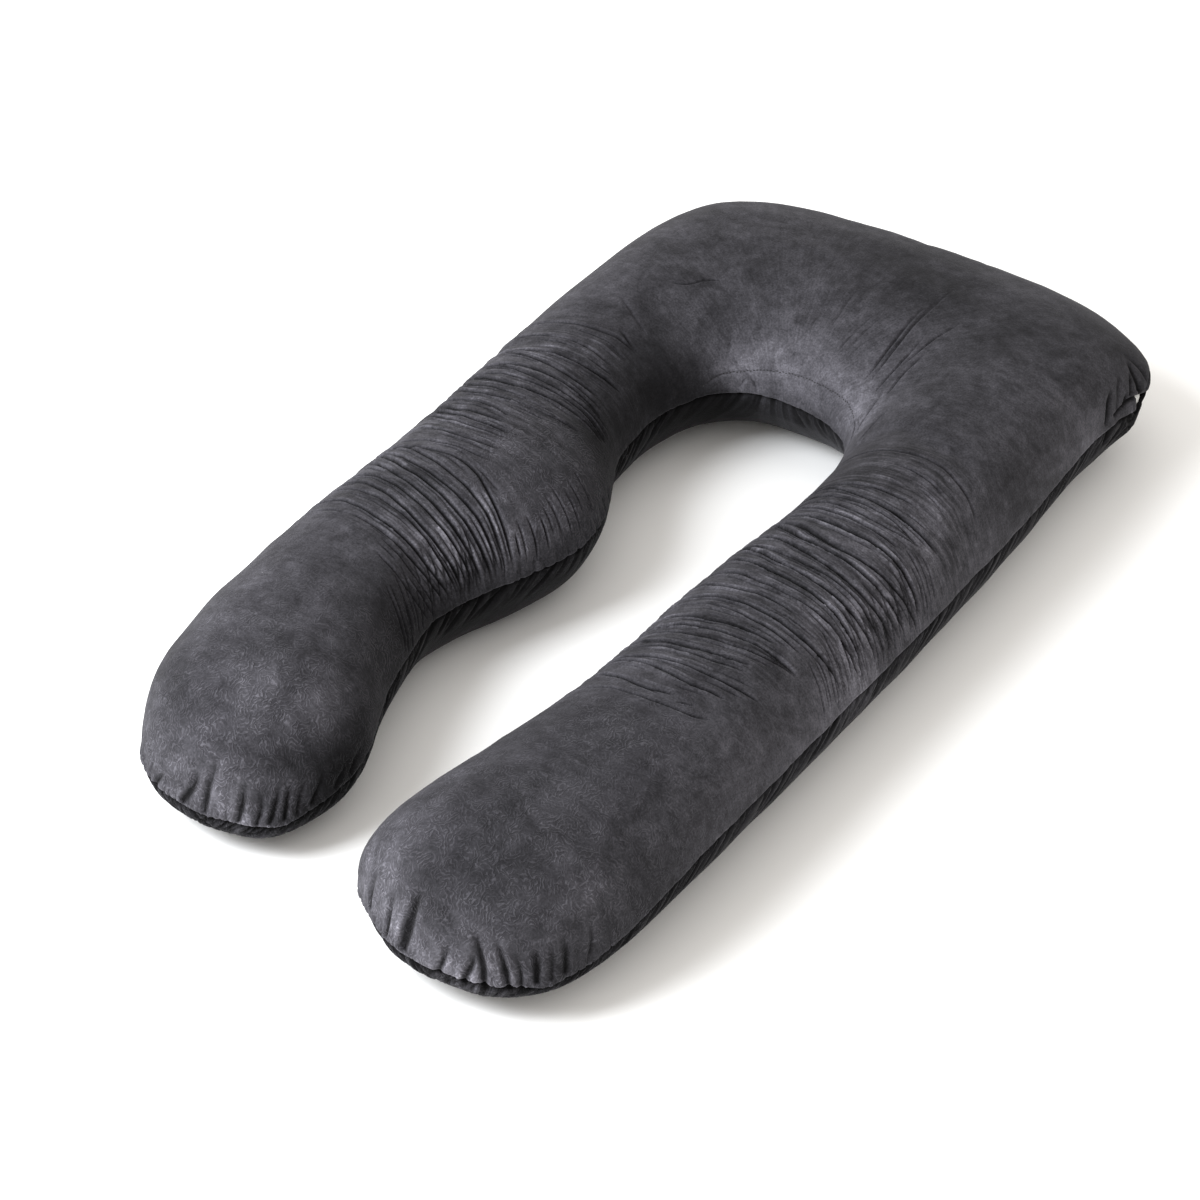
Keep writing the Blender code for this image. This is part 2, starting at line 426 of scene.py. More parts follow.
LEFT_FOLDS = (
    (-270, 211, -234, 218, -197, 229, -166, 231, 2.5, 9),
    (-278, 179, -243, 183, -208, 187, -178, 186, 3.0, 9),
    (-283, 142, -237, 151, -190, 159, -155, 168, 4.5, 10),
    (-303, 138, -255, 128, -202, 127, -161, 133, 4.5, 10),
    (-287, 105, -233, 107, -180, 113, -142, 111, 4.5, 9),
    (-300, 102, -232, 93, -163, 100, -127, 99, 4.5, 9),
    (-301, 81, -235, 81, -168, 91, -123, 87, 5.0, 9),
    (-312, 76, -246, 63, -172, 76, -123, 80, 5.0, 10),
    (-323, 72, -294, 54, -250, 47, -204, 47, 4.5, 9),
    (-326, 54, -268, 32, -196, 34, -136, 52, 5.0, 10),
    (-313, 24, -279, 16, -240, 10, -201, -1, 4.5, 9),
    (-310, 9, -279, -5, -239, -11, -198, -15, 4.5, 9),
    (-317, 1, -298, -9, -241, -24, -181, -30, 5.0, 10),
    (-306, -17, -268, -31, -225, -40, -181, -40, 4.0, 9),
    (-288, -51, -252, -61, -212, -65, -173, -62, 4.0, 9),
    (-248, -87, -223, -86, -196, -87, -170, -86, 2.5, 8),
    (-258, -104, -187, -108, -125, -137, -93, -153, 4.0, 9),
    (-288, -102, -218, -125, -145, -144, -100, -161, 5.0, 9),
    (-299, -118, -227, -142, -148, -158, -102, -169, 5.0, 9),
    (-327, -107, -252, -148, -156, -172, -104, -180, 5.5, 10),
    (-318, -132, -247, -166, -162, -188, -110, -193, 5.5, 10),
    (-307, -171, -280, -174, -176, -199, -113, -203, 4.5, 8),
    (-305, -193, -277, -192, -177, -218, -118, -218, 5.5, 10),
    (-289, -209, -221, -218, -155, -227, -121, -226, 4.0, 8),
    (-267, -239, -204, -247, -149, -246, -124, -236, 4.5, 9),
    (-224, -260, -178, -261, -141, -254, -125, -245, 3.5, 8),
    (-194, -271, -162, -271, -139, -266, -128, -260, 3.0, 7),
    (-186, -292, -156, -293, -134, -287, -127, -278, 3.0, 7),
)
HEAD_FOLDS = (
    (-201, 352, -183, 364, -170, 383, -153, 398, 2.0, 6),
)

# %% Draw the folds on the cover
PATH_STEP = 6 * MM
# Rays for the top come down from here, and one that lands lower than the second height
# has missed it: the point nearest to the third height is taken then.
TOP_OF_VIEW = 0.4
LOWEST_TOP = 0.09
SIDE_HEIGHT = 0.115
# The middle of an arm is this high, and lies this far in from a fold's unseen end.
ARM_MIDDLE_HEIGHT = 0.095
ARM_HALF_WIDTH = 0.09
UNSEEN_SIDE_ANGLES = (58, 46, 34, 22, 10)
MAIN_ENDS = (0.16, 0.10)
MAIN_WIDTH_SHARE = 0.67
MAIN_SOFTNESS = 0.0
RIGHT_DEPTH_SHARE = 1.45
LEFT_DEPTH_SHARE = 1.15
HEAD_DEPTH_SHARE = 1.0


def curve_through(corners):
    """Places on a smooth curve through the corners, about PATH_STEP apart."""
    corners = np.array(corners, dtype=float)
    before_first = 2 * corners[0] - corners[1]
    after_last = 2 * corners[-1] - corners[-2]
    padded = np.vstack((before_first, corners, after_last))
    places = []
    for number in range(len(corners) - 1):
        before, a, b, after = padded[number:number + 4]
        cubic = 2 * a - 2 * b + (b - before) / 2 + (after - a) / 2
        square = 3 * (b - a) - (b - before) - (after - a) / 2
        steps = max(int(np.linalg.norm(b - a) / PATH_STEP), 2)
        for t in np.arange(steps) / steps:
            places.append(a + t * ((b - before) / 2 + t * (square + t * cubic)))
    places.append(corners[-1])
    return np.array(places)


def surface_finder(piece):
    """A search tree of a piece's surface."""
    graph = bpy.context.evaluated_depsgraph_get()
    return BVHTree.FromObject(piece, graph)


def on_top(tree, place):
    """The point on the cover's upper side over a place in plan."""
    hit = tree.ray_cast(Vector((*place, TOP_OF_VIEW)), Vector((0, 0, -1)))[0]
    if hit is None or hit.z < LOWEST_TOP:
        hit = tree.find_nearest(Vector((*place, SIDE_HEIGHT)))[0]
    return hit


def down_the_side(tree, start, towards):
    """Points from a fold's unseen end down to the seam, on the side that x points towards."""
    inside = Vector((start.x - towards * ARM_HALF_WIDTH, start.y, ARM_MIDDLE_HEIGHT))
    found = []
    for angle in UNSEEN_SIDE_ANGLES:
        turn = math.radians(angle)
        way = Vector((towards * math.cos(turn), 0.0, math.sin(turn)))
        hit = tree.ray_cast(inside, way)[0]
        if hit is not None and (hit.x - start.x) * towards > 0:
            found.append(hit)
    return found


def fold_path(tree, row, unseen_side):
    """A fold's points on the cover, with its unseen end carried down to the seam on the
    side that x points towards, or not at all where that is 0."""
    plan = curve_through(np.array(row[:8]).reshape(4, 2) * MM)
    path = [on_top(tree, place) for place in plan]
    if unseen_side:
        path = down_the_side(tree, path[0], unseen_side)[::-1] + path
    return np.array(path)


# A fold's shade share sets how dark the colour is painted in its valley.
def crease(path, depth, width, ends, softness, shade=1.0):
    """A fold: its points, its depth and half width, over which share of its length it fades
    at either end, how soft its section is, from 0 for a sharp valley to 1, and how much of
    its depth counts for the shade in it."""
    return {
        "path": path,
        "depth": depth,
        "width": width,
        "ends": ends,
        "softness": softness,
        "shade": shade,
    }


def main_creases(tree, rows, unseen_side, depth_share):
    """The folds of a table."""
    found = []
    for row in rows:
        path = fold_path(tree, row, unseen_side)
        depth = row[8] * depth_share * MM
        width = row[9] * MAIN_WIDTH_SHARE * MM
        found.append(crease(path, depth, width, MAIN_ENDS, MAIN_SOFTNESS))
    return found


tree = surface_finder(cover)
right_creases = main_creases(tree, RIGHT_FOLDS, -1, RIGHT_DEPTH_SHARE)
left_creases = main_creases(tree, LEFT_FOLDS, -1, LEFT_DEPTH_SHARE)
head_creases = main_creases(tree, HEAD_FOLDS, 0, HEAD_DEPTH_SHARE)
print("placed", len(RIGHT_FOLDS) + len(LEFT_FOLDS) + len(HEAD_FOLDS), "folds by hand")

# %% [markdown]
# ## The fine creases between the folds
# Between two large folds the velvet has a few fine ones, some of them valleys and some low
# raised pinches, which begin and end anywhere on the way across the arm. Each is drawn
# between its two large neighbours, so that it never crosses them, and seeded chance says
# which part of the way it runs. More of them run down the right flank of each arm.

# %% Draw the fine creases
FINE_SEED = 5
FINE_ENDS = (0.3, 0.25)
FINE_DEPTHS = (2.0, 3.8)
FINE_WIDTHS = (3.2, 4.8)
FINE_LENGTHS = (0.35, 0.75)
FEWEST_POINTS = 4
# Creases down the right flank of each arm: x of the arm's middle, from y to y, between which
# angles they begin and between which they end, seen from the middle, and their pitch.
FLANKS = (
    (255, -175, 70, 38, 62, 0, 14, 7),
    (-205, -320, -140, 38, 62, -1, 9, 7),
    (-205, -135, 0, 26, 40, 4, 14, 16),
)
FLANK_DEPTHS = (2.2, 4.4)
FLANK_PITCHES = (0.6, 1.5)
# They have a point every few degrees, and lean back by so many millimetres to a degree.
FLANK_STEP = 3.0
FLANK_DRIFT = 0.4
# Where between its neighbours each fine crease lies, where on the way it may begin, and
# whether it is a valley, at 1, or a lower raised pinch, below 0.
FINE_PLACES = (
    ((0.28, 0.42), (-0.20, 0.30), 1.0),
    ((0.58, 0.72), (0.10, 0.50), -0.45),
    ((0.40, 0.60), (0.60, 0.75), 1.0),
    ((0.15, 0.30), (0.30, 0.60), -0.45),
)


def row_between(first, second, share):
    """The four places between those of two rows."""
    return [a + (b - a) * share for a, b in zip(first[:8], second[:8])]


def fine_creases(tree, rows, chance):
    """A few fine creases between each pair of neighbours in a table."""
    found = []
    for first, second in zip(rows, rows[1:]):
        for shares, starts, rise in FINE_PLACES:
            row = row_between(first, second, chance.uniform(*shares))
            path = fold_path(tree, row, 0)
            start = chance.uniform(*starts)
            end = start + chance.uniform(*FINE_LENGTHS)
            first_point = int(max(start, 0.0) * len(path))
            part = path[first_point:int(min(end, 1.0) * len(path))]
            if len(part) < FEWEST_POINTS:
                continue
            depth = chance.uniform(*FINE_DEPTHS) * rise * MM
            width = chance.uniform(*FINE_WIDTHS) * MM
            found.append(crease(part, depth, width, FINE_ENDS, 0.0))
    return found


def flank_creases(tree, flank, chance):
    """Fine creases that run down the right flank of an arm, to the seam or nearly."""
    middle, y, last_y, low, high, last_low, last_high, pitch = flank
    found = []
    while y < last_y:
        inside = Vector((middle * MM, y * MM, ARM_MIDDLE_HEIGHT))
        first = chance.uniform(low, high)
        last = chance.uniform(last_low, last_high)
        path = []
        for angle in np.arange(first, last, -FLANK_STEP):
            turn = math.radians(angle)
            drift = (first - angle) * FLANK_DRIFT * MM
            way = Vector((math.cos(turn), 0.0, math.sin(turn)))
            hit = tree.ray_cast(inside - Vector((0.0, drift, 0.0)), way)[0]
            path.append(hit)
        depth = chance.uniform(*FLANK_DEPTHS) * MM
        width = chance.uniform(*FINE_WIDTHS) * MM
        found.append(crease(np.array(path), depth, width, FINE_ENDS, 0.0))
        y += pitch * chance.uniform(*FLANK_PITCHES)
    return found


fine_chance = random.Random(FINE_SEED)
fine = fine_creases(tree, RIGHT_FOLDS, fine_chance) + fine_creases(tree, LEFT_FOLDS, fine_chance)
for flank in FLANKS:
    fine += flank_creases(tree, flank, fine_chance)
print("drew", len(fine), "fine creases between them")

# %% [markdown]
# ## The creases at the neck, the corner and the arms' tips
# Where the neck bends into the right arm the velvet is stretched in a fan of long shallow
# creases. At the far right corner deep ones run up from the gape in the seam. Round both
# tips the upper panel is gathered into the seam, and the largest gathers there are placed
# one by one, because they give the tips their character.

# %% Tables of the creases in space
# Each row: three places as x, y and z, then depth and width, all in millimetres.
NECK_CREASES = (
    (-30, 365, 153, -19, 393, 172, -15, 431, 187, 1.0, 6),
    (7, 389, 170, 6, 428, 185, 7, 473, 196, 1.0, 5),
    (30, 372, 160, 39, 403, 178, 50, 445, 191, 1.2, 4),
    (43, 378, 166, 53, 418, 184, 63, 447, 193, 1.2, 4),
    (84, 346, 154, 91, 383, 175, 96, 476, 197, 2.8, 5),
    (94, 348, 158, 99, 391, 179, 104, 501, 199, 2.6, 5),
    (91, 361, 164, 99, 408, 184, 109, 526, 198, 2.2, 4),
    (108, 330, 157, 118, 372, 178, 124, 425, 191, 2.6, 4),
    (122, 368, 176, 132, 404, 187, 153, 469, 197, 2.2, 4),
    (128, 320, 163, 133, 364, 178, 143, 407, 190, 2.4, 5),
    (98, 303, 129, 109, 284, 127, 114, 262, 122, 3.4, 4),
    (115, 274, 129, 117, 309, 152, 121, 333, 163, 2.4, 6),
    (138, 241, 148, 142, 271, 160, 151, 299, 174, 2.0, 6),
    (100, 305, 133, 112, 286, 136, 119, 262, 138, 1.4, 4),
    (-98, 328, 134, -104, 342, 152, -112, 358, 164, 1.0, 5),
    (-57, 332, 99, -62, 332, 109, -70, 330, 118, 1.6, 5),
    (-81, 325, 100, -75, 328, 109, -70, 330, 118, 1.2, 4),
    (-203, 242, 189, -178, 234, 174, -166, 235, 161, 2.4, 6),
    (-235, 292, 198, -198, 272, 189, -172, 260, 172, 1.8, 6),
)
CORNER_CREASES = (
    (327, 571, 148, 335, 570, 135, 345, 570, 108, 5.0, 10),
    (338, 612, 118, 340, 600, 108, 345, 582, 100, 5.5, 9),
    (321, 574, 152, 331, 585, 136, 341, 592, 112, 2.5, 7),
    (344, 543, 124, 347, 537, 119, 348, 529, 110, 4.0, 9),
    (336, 517, 143, 341, 500, 129, 346, 492, 103, 4.0, 10),
    (333, 545, 150, 338, 528, 138, 345, 515, 112, 2.0, 8),
    (348, 514, 97, 349, 532, 92, 346, 575, 80, 5.0, 8),
    (348, 509, 94, 347, 504, 85, 345, 502, 66, 6.0, 11),
    (345, 568, 108, 347, 540, 114, 347, 508, 109, 6.5, 6),
    (335, 566, 140, 340, 556, 128, 345, 548, 116, 3.5, 7),
    (347, 540, 90, 346, 552, 76, 342, 560, 58, 5.0, 10),
)
TIP_GATHERS = (
    (-244, -625, 51, -236, -628, 66, -227, -630, 80, 4.0, 10),
    (-199, -635, 55, -182, -633, 86, -179, -629, 104, 5.5, 13),
    (-168, -634, 55, -163, -629, 97, -156, -617, 127, 4.0, 12),
    (-130, -626, 54, -126, -622, 81, -127, -615, 104, 4.5, 11),
    (-112, -618, 54, -108, -614, 75, -111, -609, 93, 4.0, 9),
    (-101, -611, 56, -97, -603, 81, -97, -596, 98, 5.0, 9),
    (-91, -601, 58, -90, -593, 83, -90, -586, 98, 5.0, 8),
    (-85, -590, 60, -82, -580, 86, -81, -570, 98, 3.5, 8),
    (-77, -573, 66, -73, -559, 87, -73, -551, 100, 4.0, 9),
    (-68, -545, 73, -66, -529, 88, -66, -518, 98, 3.0, 8),
    (-65, -522, 78, -65, -508, 91, -68, -493, 97, 3.0, 8),
    (139, -696, 56, 145, -693, 89, 152, -679, 133, 7.0, 17),
    (115, -689, 58, 117, -685, 97, 120, -680, 115, 4.0, 10),
    (81, -673, 66, 84, -669, 98, 86, -664, 115, 3.5, 10),
    (184, -697, 50, 192, -697, 74, 195, -694, 94, 4.0, 11),
    (213, -694, 48, 222, -692, 76, 224, -689, 92, 5.5, 12),
    (235, -687, 46, 233, -689, 75, 219, -684, 113, 6.0, 12),
    (259, -680, 48, 254, -681, 76, 240, -677, 110, 5.0, 10),
    (271, -676, 54, 268, -674, 77, 262, -673, 91, 3.5, 8),
    (284, -667, 58, 282, -664, 84, 277, -661, 99, 5.0, 11),
    (294, -656, 60, 293, -652, 86, 289, -650, 100, 2.5, 8),
    (303, -644, 64, 301, -639, 91, 295, -636, 107, 4.0, 10),
    (314, -615, 74, 314, -610, 96, 309, -607, 109, 3.0, 9),
)
# The line of topstitching, as x, y and z in millimetres. It draws the velvet in.
TOPSTITCH = (
    (-118, 294, 107),
    (-101, 314, 117),
    (-70, 334, 123),
    (-33, 344, 129),
    (10, 345, 132),
    (68, 329, 133),
    (96, 306, 129),
)
TOPSTITCH_DEPTH = 1.2 * MM
TOPSTITCH_WIDTH = 3.5 * MM
TOPSTITCH_ENDS = (0.05, 0.05)
TOPSTITCH_SOFTNESS = 0.2
# The share of the groove's depth that counts for its painted shade.
TOPSTITCH_PAINTED_SHADE = 0.5
NECK_ENDS = (0.2, 0.5)
NECK_SOFTNESS = 0.1
CORNER_ENDS = (0.35, 0.08)
CORNER_SOFTNESS = 0.45
GATHER_ENDS = (0.02, 0.65)
GATHER_SOFTNESS = 0.5
# How much of their depth counts for the painted shade in their valleys, on the upper panel and
# on the lower one.
GATHER_PAINTED_SHADES = (0.45, 0.8)
TIP_SOFTNESS = 0.15


# %% Lay them on the cover
def laid_on(tree, corners):
    """A smooth row of points on the cover, near the corners, which are in millimetres."""
    places = curve_through(np.array(corners) * MM)
    return np.array([tree.find_nearest(Vector(place))[0] for place in places])


def creases_in_space(tree, rows, ends, softness):
    """The creases of a table whose places are in space, laid on the cover."""
    found = []
    for row in rows:
        path = laid_on(tree, np.array(row[:9]).reshape(3, 3))
        found.append(crease(path, row[9] * MM, row[10] * MM, ends, softness))
    return found


neck = creases_in_space(tree, NECK_CREASES, NECK_ENDS, NECK_SOFTNESS)
stitch_line = laid_on(tree, TOPSTITCH)
neck.append(crease(
    stitch_line,
    TOPSTITCH_DEPTH,
    TOPSTITCH_WIDTH,
    TOPSTITCH_ENDS,
    TOPSTITCH_SOFTNESS,
    TOPSTITCH_PAINTED_SHADE,
))
corner = creases_in_space(tree, CORNER_CREASES, CORNER_ENDS, CORNER_SOFTNESS)
tips = creases_in_space(tree, TIP_GATHERS, GATHER_ENDS, TIP_SOFTNESS)
print("placed", len(neck) + len(corner) + len(tips), "more creases in space")

# %% [markdown]
# ## The gathers along the seam
# Where two panels turn a tight corner the longer edge is gathered into the shorter one, so
# short puckers stand at right angles to the seam. They are many and no two are alike, so
# they are drawn from seeded chance, with a table of the stretches where they are strong.
# The lower panel is cut short of the upper one, and its puckers lean over like drapery.

# %% Table of the gathered stretches
# The gathers near a place: x, y and reach in plan, their pitch, and then length and depth
# on the upper panel and on the lower one, all in millimetres.
GATHERED = (
    (-200, -640, 170, 8, 32, 2.2, 44, 4.5),
    (170, -700, 190, 8, 32, 2.2, 44, 4.5),
    (350, 590, 70, 13, 24, 2.0, 40, 3.5),
    (-70, -60, 100, 14, 30, 3.0, 40, 3.0),
    (0, 330, 150, 20, 22, 0.8, 34, 2.5),
)
PLAIN_STRETCH = (13, 12, 0.6, 44, 4.0)
GATHER_SEED = 11
GATHER_STEP = 4 * MM
FEWEST_STEPS = 3
SEAM_ENDS = 0.01
# The way of the seam is taken over this many of its points before and after.
SEAM_NEIGHBOURS = 3
# Upper gathers keep clear of the placed ones. Nearer to those there is a raised pinch.
CLEAR_OF_OTHERS = 9 * MM
PINCH_CLEARANCE = 4 * MM
PINCH_HEIGHT = -0.8
PINCH_WIDTH = 3.5 * MM
# What chance may give: slants, strengths, and shares of a length, a pitch and a width.
UPPER_SLANTS = (-0.35, 0.35)
LOWER_SLANTS = (0.5, 1.3)
STRENGTHS = (0.45, 1.2)
LENGTHS = (0.55, 1.25)
PITCHES = (0.55, 1.5)
WIDTHS = (0.7, 1.1)
WIDEST_GATHER = 9.0


# %% Draw the gathers
def stretch_at(place):
    """Pitch, then length and depth above and below, of the gathers at a place."""
    for x, y, reach, *gather in GATHERED:
        if math.hypot(place[0] / MM - x, place[1] / MM - y) < reach:
            return gather
    return PLAIN_STRETCH


def gather_path(tree, place, forward, upward, length, slant):
    """A short row of points from the seam up or down the cover."""
    path = []
    here = Vector(place)
    steps = max(int(length / GATHER_STEP), FEWEST_STEPS)
    for _ in range(steps + 1):
        found, normal = tree.find_nearest(here)[:2]
        path.append(found)
        along = normal.cross(forward).normalized()
        if along.z * upward < 0:
            along = -along
        here = found + (along + forward * slant) * (length / steps)
    return np.array(path)


def seam_gathers(tree, seam, placed):
    """Seeded gathers all along the seam on both panels, clear of those already placed."""
    chance = random.Random(GATHER_SEED)
    starts = np.array([item["path"][0] for item in placed])
    found = []
    reached = SEAM_ENDS
    while reached < seam_walked[-1] - SEAM_ENDS:
        number = int(np.searchsorted(seam_walked, reached))
        place = seam[number]
        before = seam[max(number - SEAM_NEIGHBOURS, 0)]
        after = seam[min(number + SEAM_NEIGHBOURS, len(seam) - 1)]
        forward = Vector(after - before).normalized()
        pitch, upper_length, upper_depth, lower_length, lower_depth = stretch_at(place)
        lean = -1 if forward.y > 0 else 1
        ways = (
            (1, upper_length, upper_depth, chance.uniform(*UPPER_SLANTS)),
            (-1, lower_length, lower_depth, lean * chance.uniform(*LOWER_SLANTS)),
        )
        for upward, length, depth, slant in ways:
            reach = length * chance.uniform(*LENGTHS) * MM
            press = depth * chance.uniform(*STRENGTHS) * MM
            width = min(pitch / 2, WIDEST_GATHER) * chance.uniform(*WIDTHS) * MM
            gap = np.linalg.norm(starts - place, axis=1).min()
            path = gather_path(tree, place, forward, upward, reach, slant)
            shade = GATHER_PAINTED_SHADES[0 if upward > 0 else 1]
            if upward < 0 or gap > CLEAR_OF_OTHERS:
                found.append(crease(path, press, width, GATHER_ENDS, GATHER_SOFTNESS, shade))
            elif gap > PINCH_CLEARANCE:
                found.append(crease(path, press * PINCH_HEIGHT, PINCH_WIDTH, GATHER_ENDS, 0.0))
        reached += pitch * MM * chance.uniform(*PITCHES)
    return found


gathers = seam_gathers(tree, seam, tips + corner)
print("drew", len(gathers), "gathers along the seam")

# %% [markdown]
# ## Press the folds into the velvet
# Close to the folds the cover is given finer faces, twice over, and the gape is made as fine.
# Each point is then pressed in by the deepest fold near it. The section of a sharp fold is
# an arch of a sine on either side of its valley, and that of a soft one is a wave. A slow
# unevenness of a few tenths of a millimetre is added, because stuffing is never quite even.

# %% Refine the cover near the folds
FIRST_REACH = 13 * MM
SECOND_REACH = 4.5 * MM
DENSE_STEP = 2 * MM
# Where the seam gapes, and how far round it the faces are as fine as beside the folds.
GAPE_PLACE = np.array((0.343, 0.582, 0.0925))
GAPE_SURROUNDINGS = 30 * MM


def densely(path):
    """A path's points with more between them."""
    parts = []
    for start, end in zip(path, path[1:]):
        steps = max(int(np.linalg.norm(end - start) / DENSE_STEP), 1)
        parts.append(start + (end - start) * (np.arange(steps) / steps)[:, None])
    return np.vstack(parts + [path[-1:]])


def search_among(places):
    """A search tree of places."""
    search = KDTree(len(places))
    for number, place in enumerate(places):
        search.insert(place, number)
    search.balance()
    return search


def near_creases(points, creases, reach):
    """Which of the points are within reach of any of the creases."""
    search = search_among(np.vstack([densely(item["path"]) for item in creases]))
    return np.array([search.find(point)[2] < reach for point in points])


def refine(piece, chosen):
    """Halve the edges whose two ends are both chosen."""
    shape = bmesh.new()
    shape.from_mesh(piece.data)
    edges = [edge for edge in shape.edges if all(chosen[end.index] for end in edge.verts)]
    bmesh.ops.subdivide_edges(shape, edges=edges, cuts=1, use_grid_fill=True)
    shape.to_mesh(piece.data)
    shape.free()


folds = right_creases + left_creases + head_creases + fine + neck
gathered = corner + tips + gathers
refine(cover, near_creases(points_of(cover), folds + gathered, FIRST_REACH))
near_gape = np.linalg.norm(points_of(cover) - GAPE_PLACE, axis=1) < GAPE_SURROUNDINGS
refine(cover, near_creases(points_of(cover), folds + corner, SECOND_REACH) | near_gape)
print("the refined cover has", len(cover.data.vertices), "points")

# %% Press the folds in
ARCH_POWER = 1.35
CREST = 0.5
END_POWER = 0.7
UNEVENNESS = 0.16 * MM
UNEVEN_LENGTHS = (60, 150)
UNEVEN_WAVES = 9
WAVE_STARTS = (0, 6.28)
UNEVEN_SEED = 3
SHORTEST_STEP = 1e-6


def uneven(points):
    """A slow seeded unevenness: a sum of waves in chance directions."""
    chance = random.Random(UNEVEN_SEED)
    total = np.zeros(len(points))
    for _ in range(UNEVEN_WAVES):
        way = Vector([chance.gauss(0, 1) for _ in range(3)]).normalized()
        length = chance.uniform(*UNEVEN_LENGTHS) * MM
        start = chance.uniform(*WAVE_STARTS)
        total += np.sin(points @ np.array(way) * 2 * math.pi / length + start)
    return total * UNEVENNESS


def pressed_by(points, item):
    """How far one fold presses the points near it, and which points those are."""
    path, width = item["path"], item["width"]
    low = path.min(axis=0) - width
    high = path.max(axis=0) + width
    near = np.nonzero(np.all((points > low) & (points < high), axis=1))[0]
    if not len(near):
        return near, np.zeros(0)
    start = path[:-1]
    step = path[1:] - start
    length = np.maximum(np.linalg.norm(step, axis=1), SHORTEST_STEP)
    walked = np.concatenate(((0.0,), np.cumsum(length)))
    gap = points[near][:, None] - start
    share = np.clip((gap * step).sum(axis=2) / length ** 2, 0, 1)
    distance = np.linalg.norm(gap - share[..., None] * step, axis=2)
    nearest = distance.argmin(axis=1)
    rows = np.arange(len(near))
    across = np.clip(distance[rows, nearest] / width, 0, 1)
    along = (walked[nearest] + share[rows, nearest] * length[nearest]) / walked[-1]
    fade_in, fade_out = item["ends"]
    fade = np.clip(np.minimum(along / fade_in, (1 - along) / fade_out), 0, 1) ** END_POWER
    sharp = (1 - np.sin(across * math.pi / 2)) ** ARCH_POWER
    sharp -= CREST * np.sin(across * math.pi) ** 2 * across
    soft = (1 + np.cos(across * math.pi)) / 2
    section = sharp + (soft - sharp) * item["softness"]
    return near, item["depth"] * fade * section


def pressed_depths(points, creases):
    """How far the folds near each point press it in: the deepest valley, and outside the
    valleys the highest crest, which counts as less than nothing. The second row that comes
    back is the part of that which counts for the shade."""
    deepest = np.zeros((2, len(points)))
    crests = np.zeros((2, len(points)))
    for item in creases:
        near, depth = pressed_by(points, item)
        both = np.stack((depth, depth * item["shade"]))
        deepest[:, near] = np.maximum(deepest[:, near], both)
        crests[:, near] = np.minimum(crests[:, near], both)
    return np.where(deepest > 0, deepest, crests)


# The second depths set the painted shade in the valleys, darker where a fold is deeper.
base_points = points_of(cover)
depths, painted_shade_depths = pressed_depths(base_points, folds + gathered)
pressed = base_points + outward_of(cover) * (uneven(base_points) - depths)[:, None]
pressed[:, 2] = np.maximum(pressed[:, 2], 0.0)
print("the folds press the velvet in by up to", round(depths.max() / MM, 1), "mm")

# %% [markdown]
# ## The gape at the corner
# At the far right corner the seam has opened for a finger's length, and the white casing
# inside shows in a slender triangle. Cutting a hole would leave a raw edge, so the velvet
# is pushed back behind the casing there, with a rounded edge and a small rolled rim. The
# lower panel sags out below it.

# %% Open the gape
# The recess behind the gape is painted this dark, as if this deep in a valley.
DEEPEST_PAINTED_SHADE = 5 * MM
# Which way the gape faces, and which way it runs, towards its long end.
GAPE_FACING = Vector((0.80, -0.18, 0.57)).normalized()
GAPE_COURSE = Vector((-0.22, 0.95, -0.24))
# The opening is a slender triangle: its short side, its long end and its half width.
GAPE_SHORT_SIDE = 17 * MM
GAPE_LONG_END = 22 * MM
GAPE_HALF_WIDTH = 6.2 * MM
# The cloth turns in between these shares of the opening, so that its edge is rounded.
GAPE_EDGE = (1.15, 0.7)
GAPE_DEPTH = 12 * MM
GAPE_RIM = 2.5 * MM
RIM_REACH = 1.9
# The lower panel sags out, along x, by this much at a place.
SAG_PLACE = np.array((0.346, 0.560, 0.062))
SAG = 7 * MM
SAG_REACH = 26 * MM

facing = np.array(GAPE_FACING)
gape_side = np.array(GAPE_COURSE.cross(GAPE_FACING).normalized())
gape_course = np.cross(facing, gape_side)
from_gape = pressed - GAPE_PLACE
out_of_gape = from_gape @ facing
along_gape = from_gape @ gape_course
across_gape = np.abs(from_gape @ gape_side)
around = np.maximum(
    -along_gape / GAPE_SHORT_SIDE,
    along_gape / GAPE_LONG_END + across_gape / GAPE_HALF_WIDTH,
)
outer_side = out_of_gape > -2 * GAPE_DEPTH
turned_in = np.clip((GAPE_EDGE[0] - around) / (GAPE_EDGE[0] - GAPE_EDGE[1]), 0, 1)
turned_in *= turned_in * (3 - 2 * turned_in) * outer_side
opened = turned_in > 0.5
rim = outer_side & (around >= 1) & (around < RIM_REACH)
pressed -= facing * (turned_in * (out_of_gape + GAPE_DEPTH))[:, None]
rim_share = (around[rim] - 1) / (RIM_REACH - 1)
pressed[rim] += facing * (GAPE_RIM * np.sin(rim_share * math.pi))[:, None]
from_sag = np.linalg.norm(pressed - SAG_PLACE, axis=1)
sagging = np.exp(-((from_sag / SAG_REACH) ** 2)) * (~opened)
pressed += np.array((1.0, 0.0, 0.0)) * (SAG * sagging)[:, None]
# The opened gape is painted with the darkest valley shade.
painted_shade_depths[opened] = DEEPEST_PAINTED_SHADE
move_points(cover, pressed)
print("the gape moved", int(opened.sum()), "points back and", int(rim.sum()), "into its rim")

# %% Thin the faces where the velvet is plain
MOST_TRIANGLES = 175000


def triangle_count(piece):
    """How many triangles a piece's faces make."""
    return sum(len(face.vertices) - 2 for face in piece.data.polygons)


thinning = cover.modifiers.new("thinning", "DECIMATE")
thinning.ratio = min(1.0, MOST_TRIANGLES / triangle_count(cover))
dense = points_of(cover)
applied(cover)
print("thinned to", triangle_count(cover), "triangles")

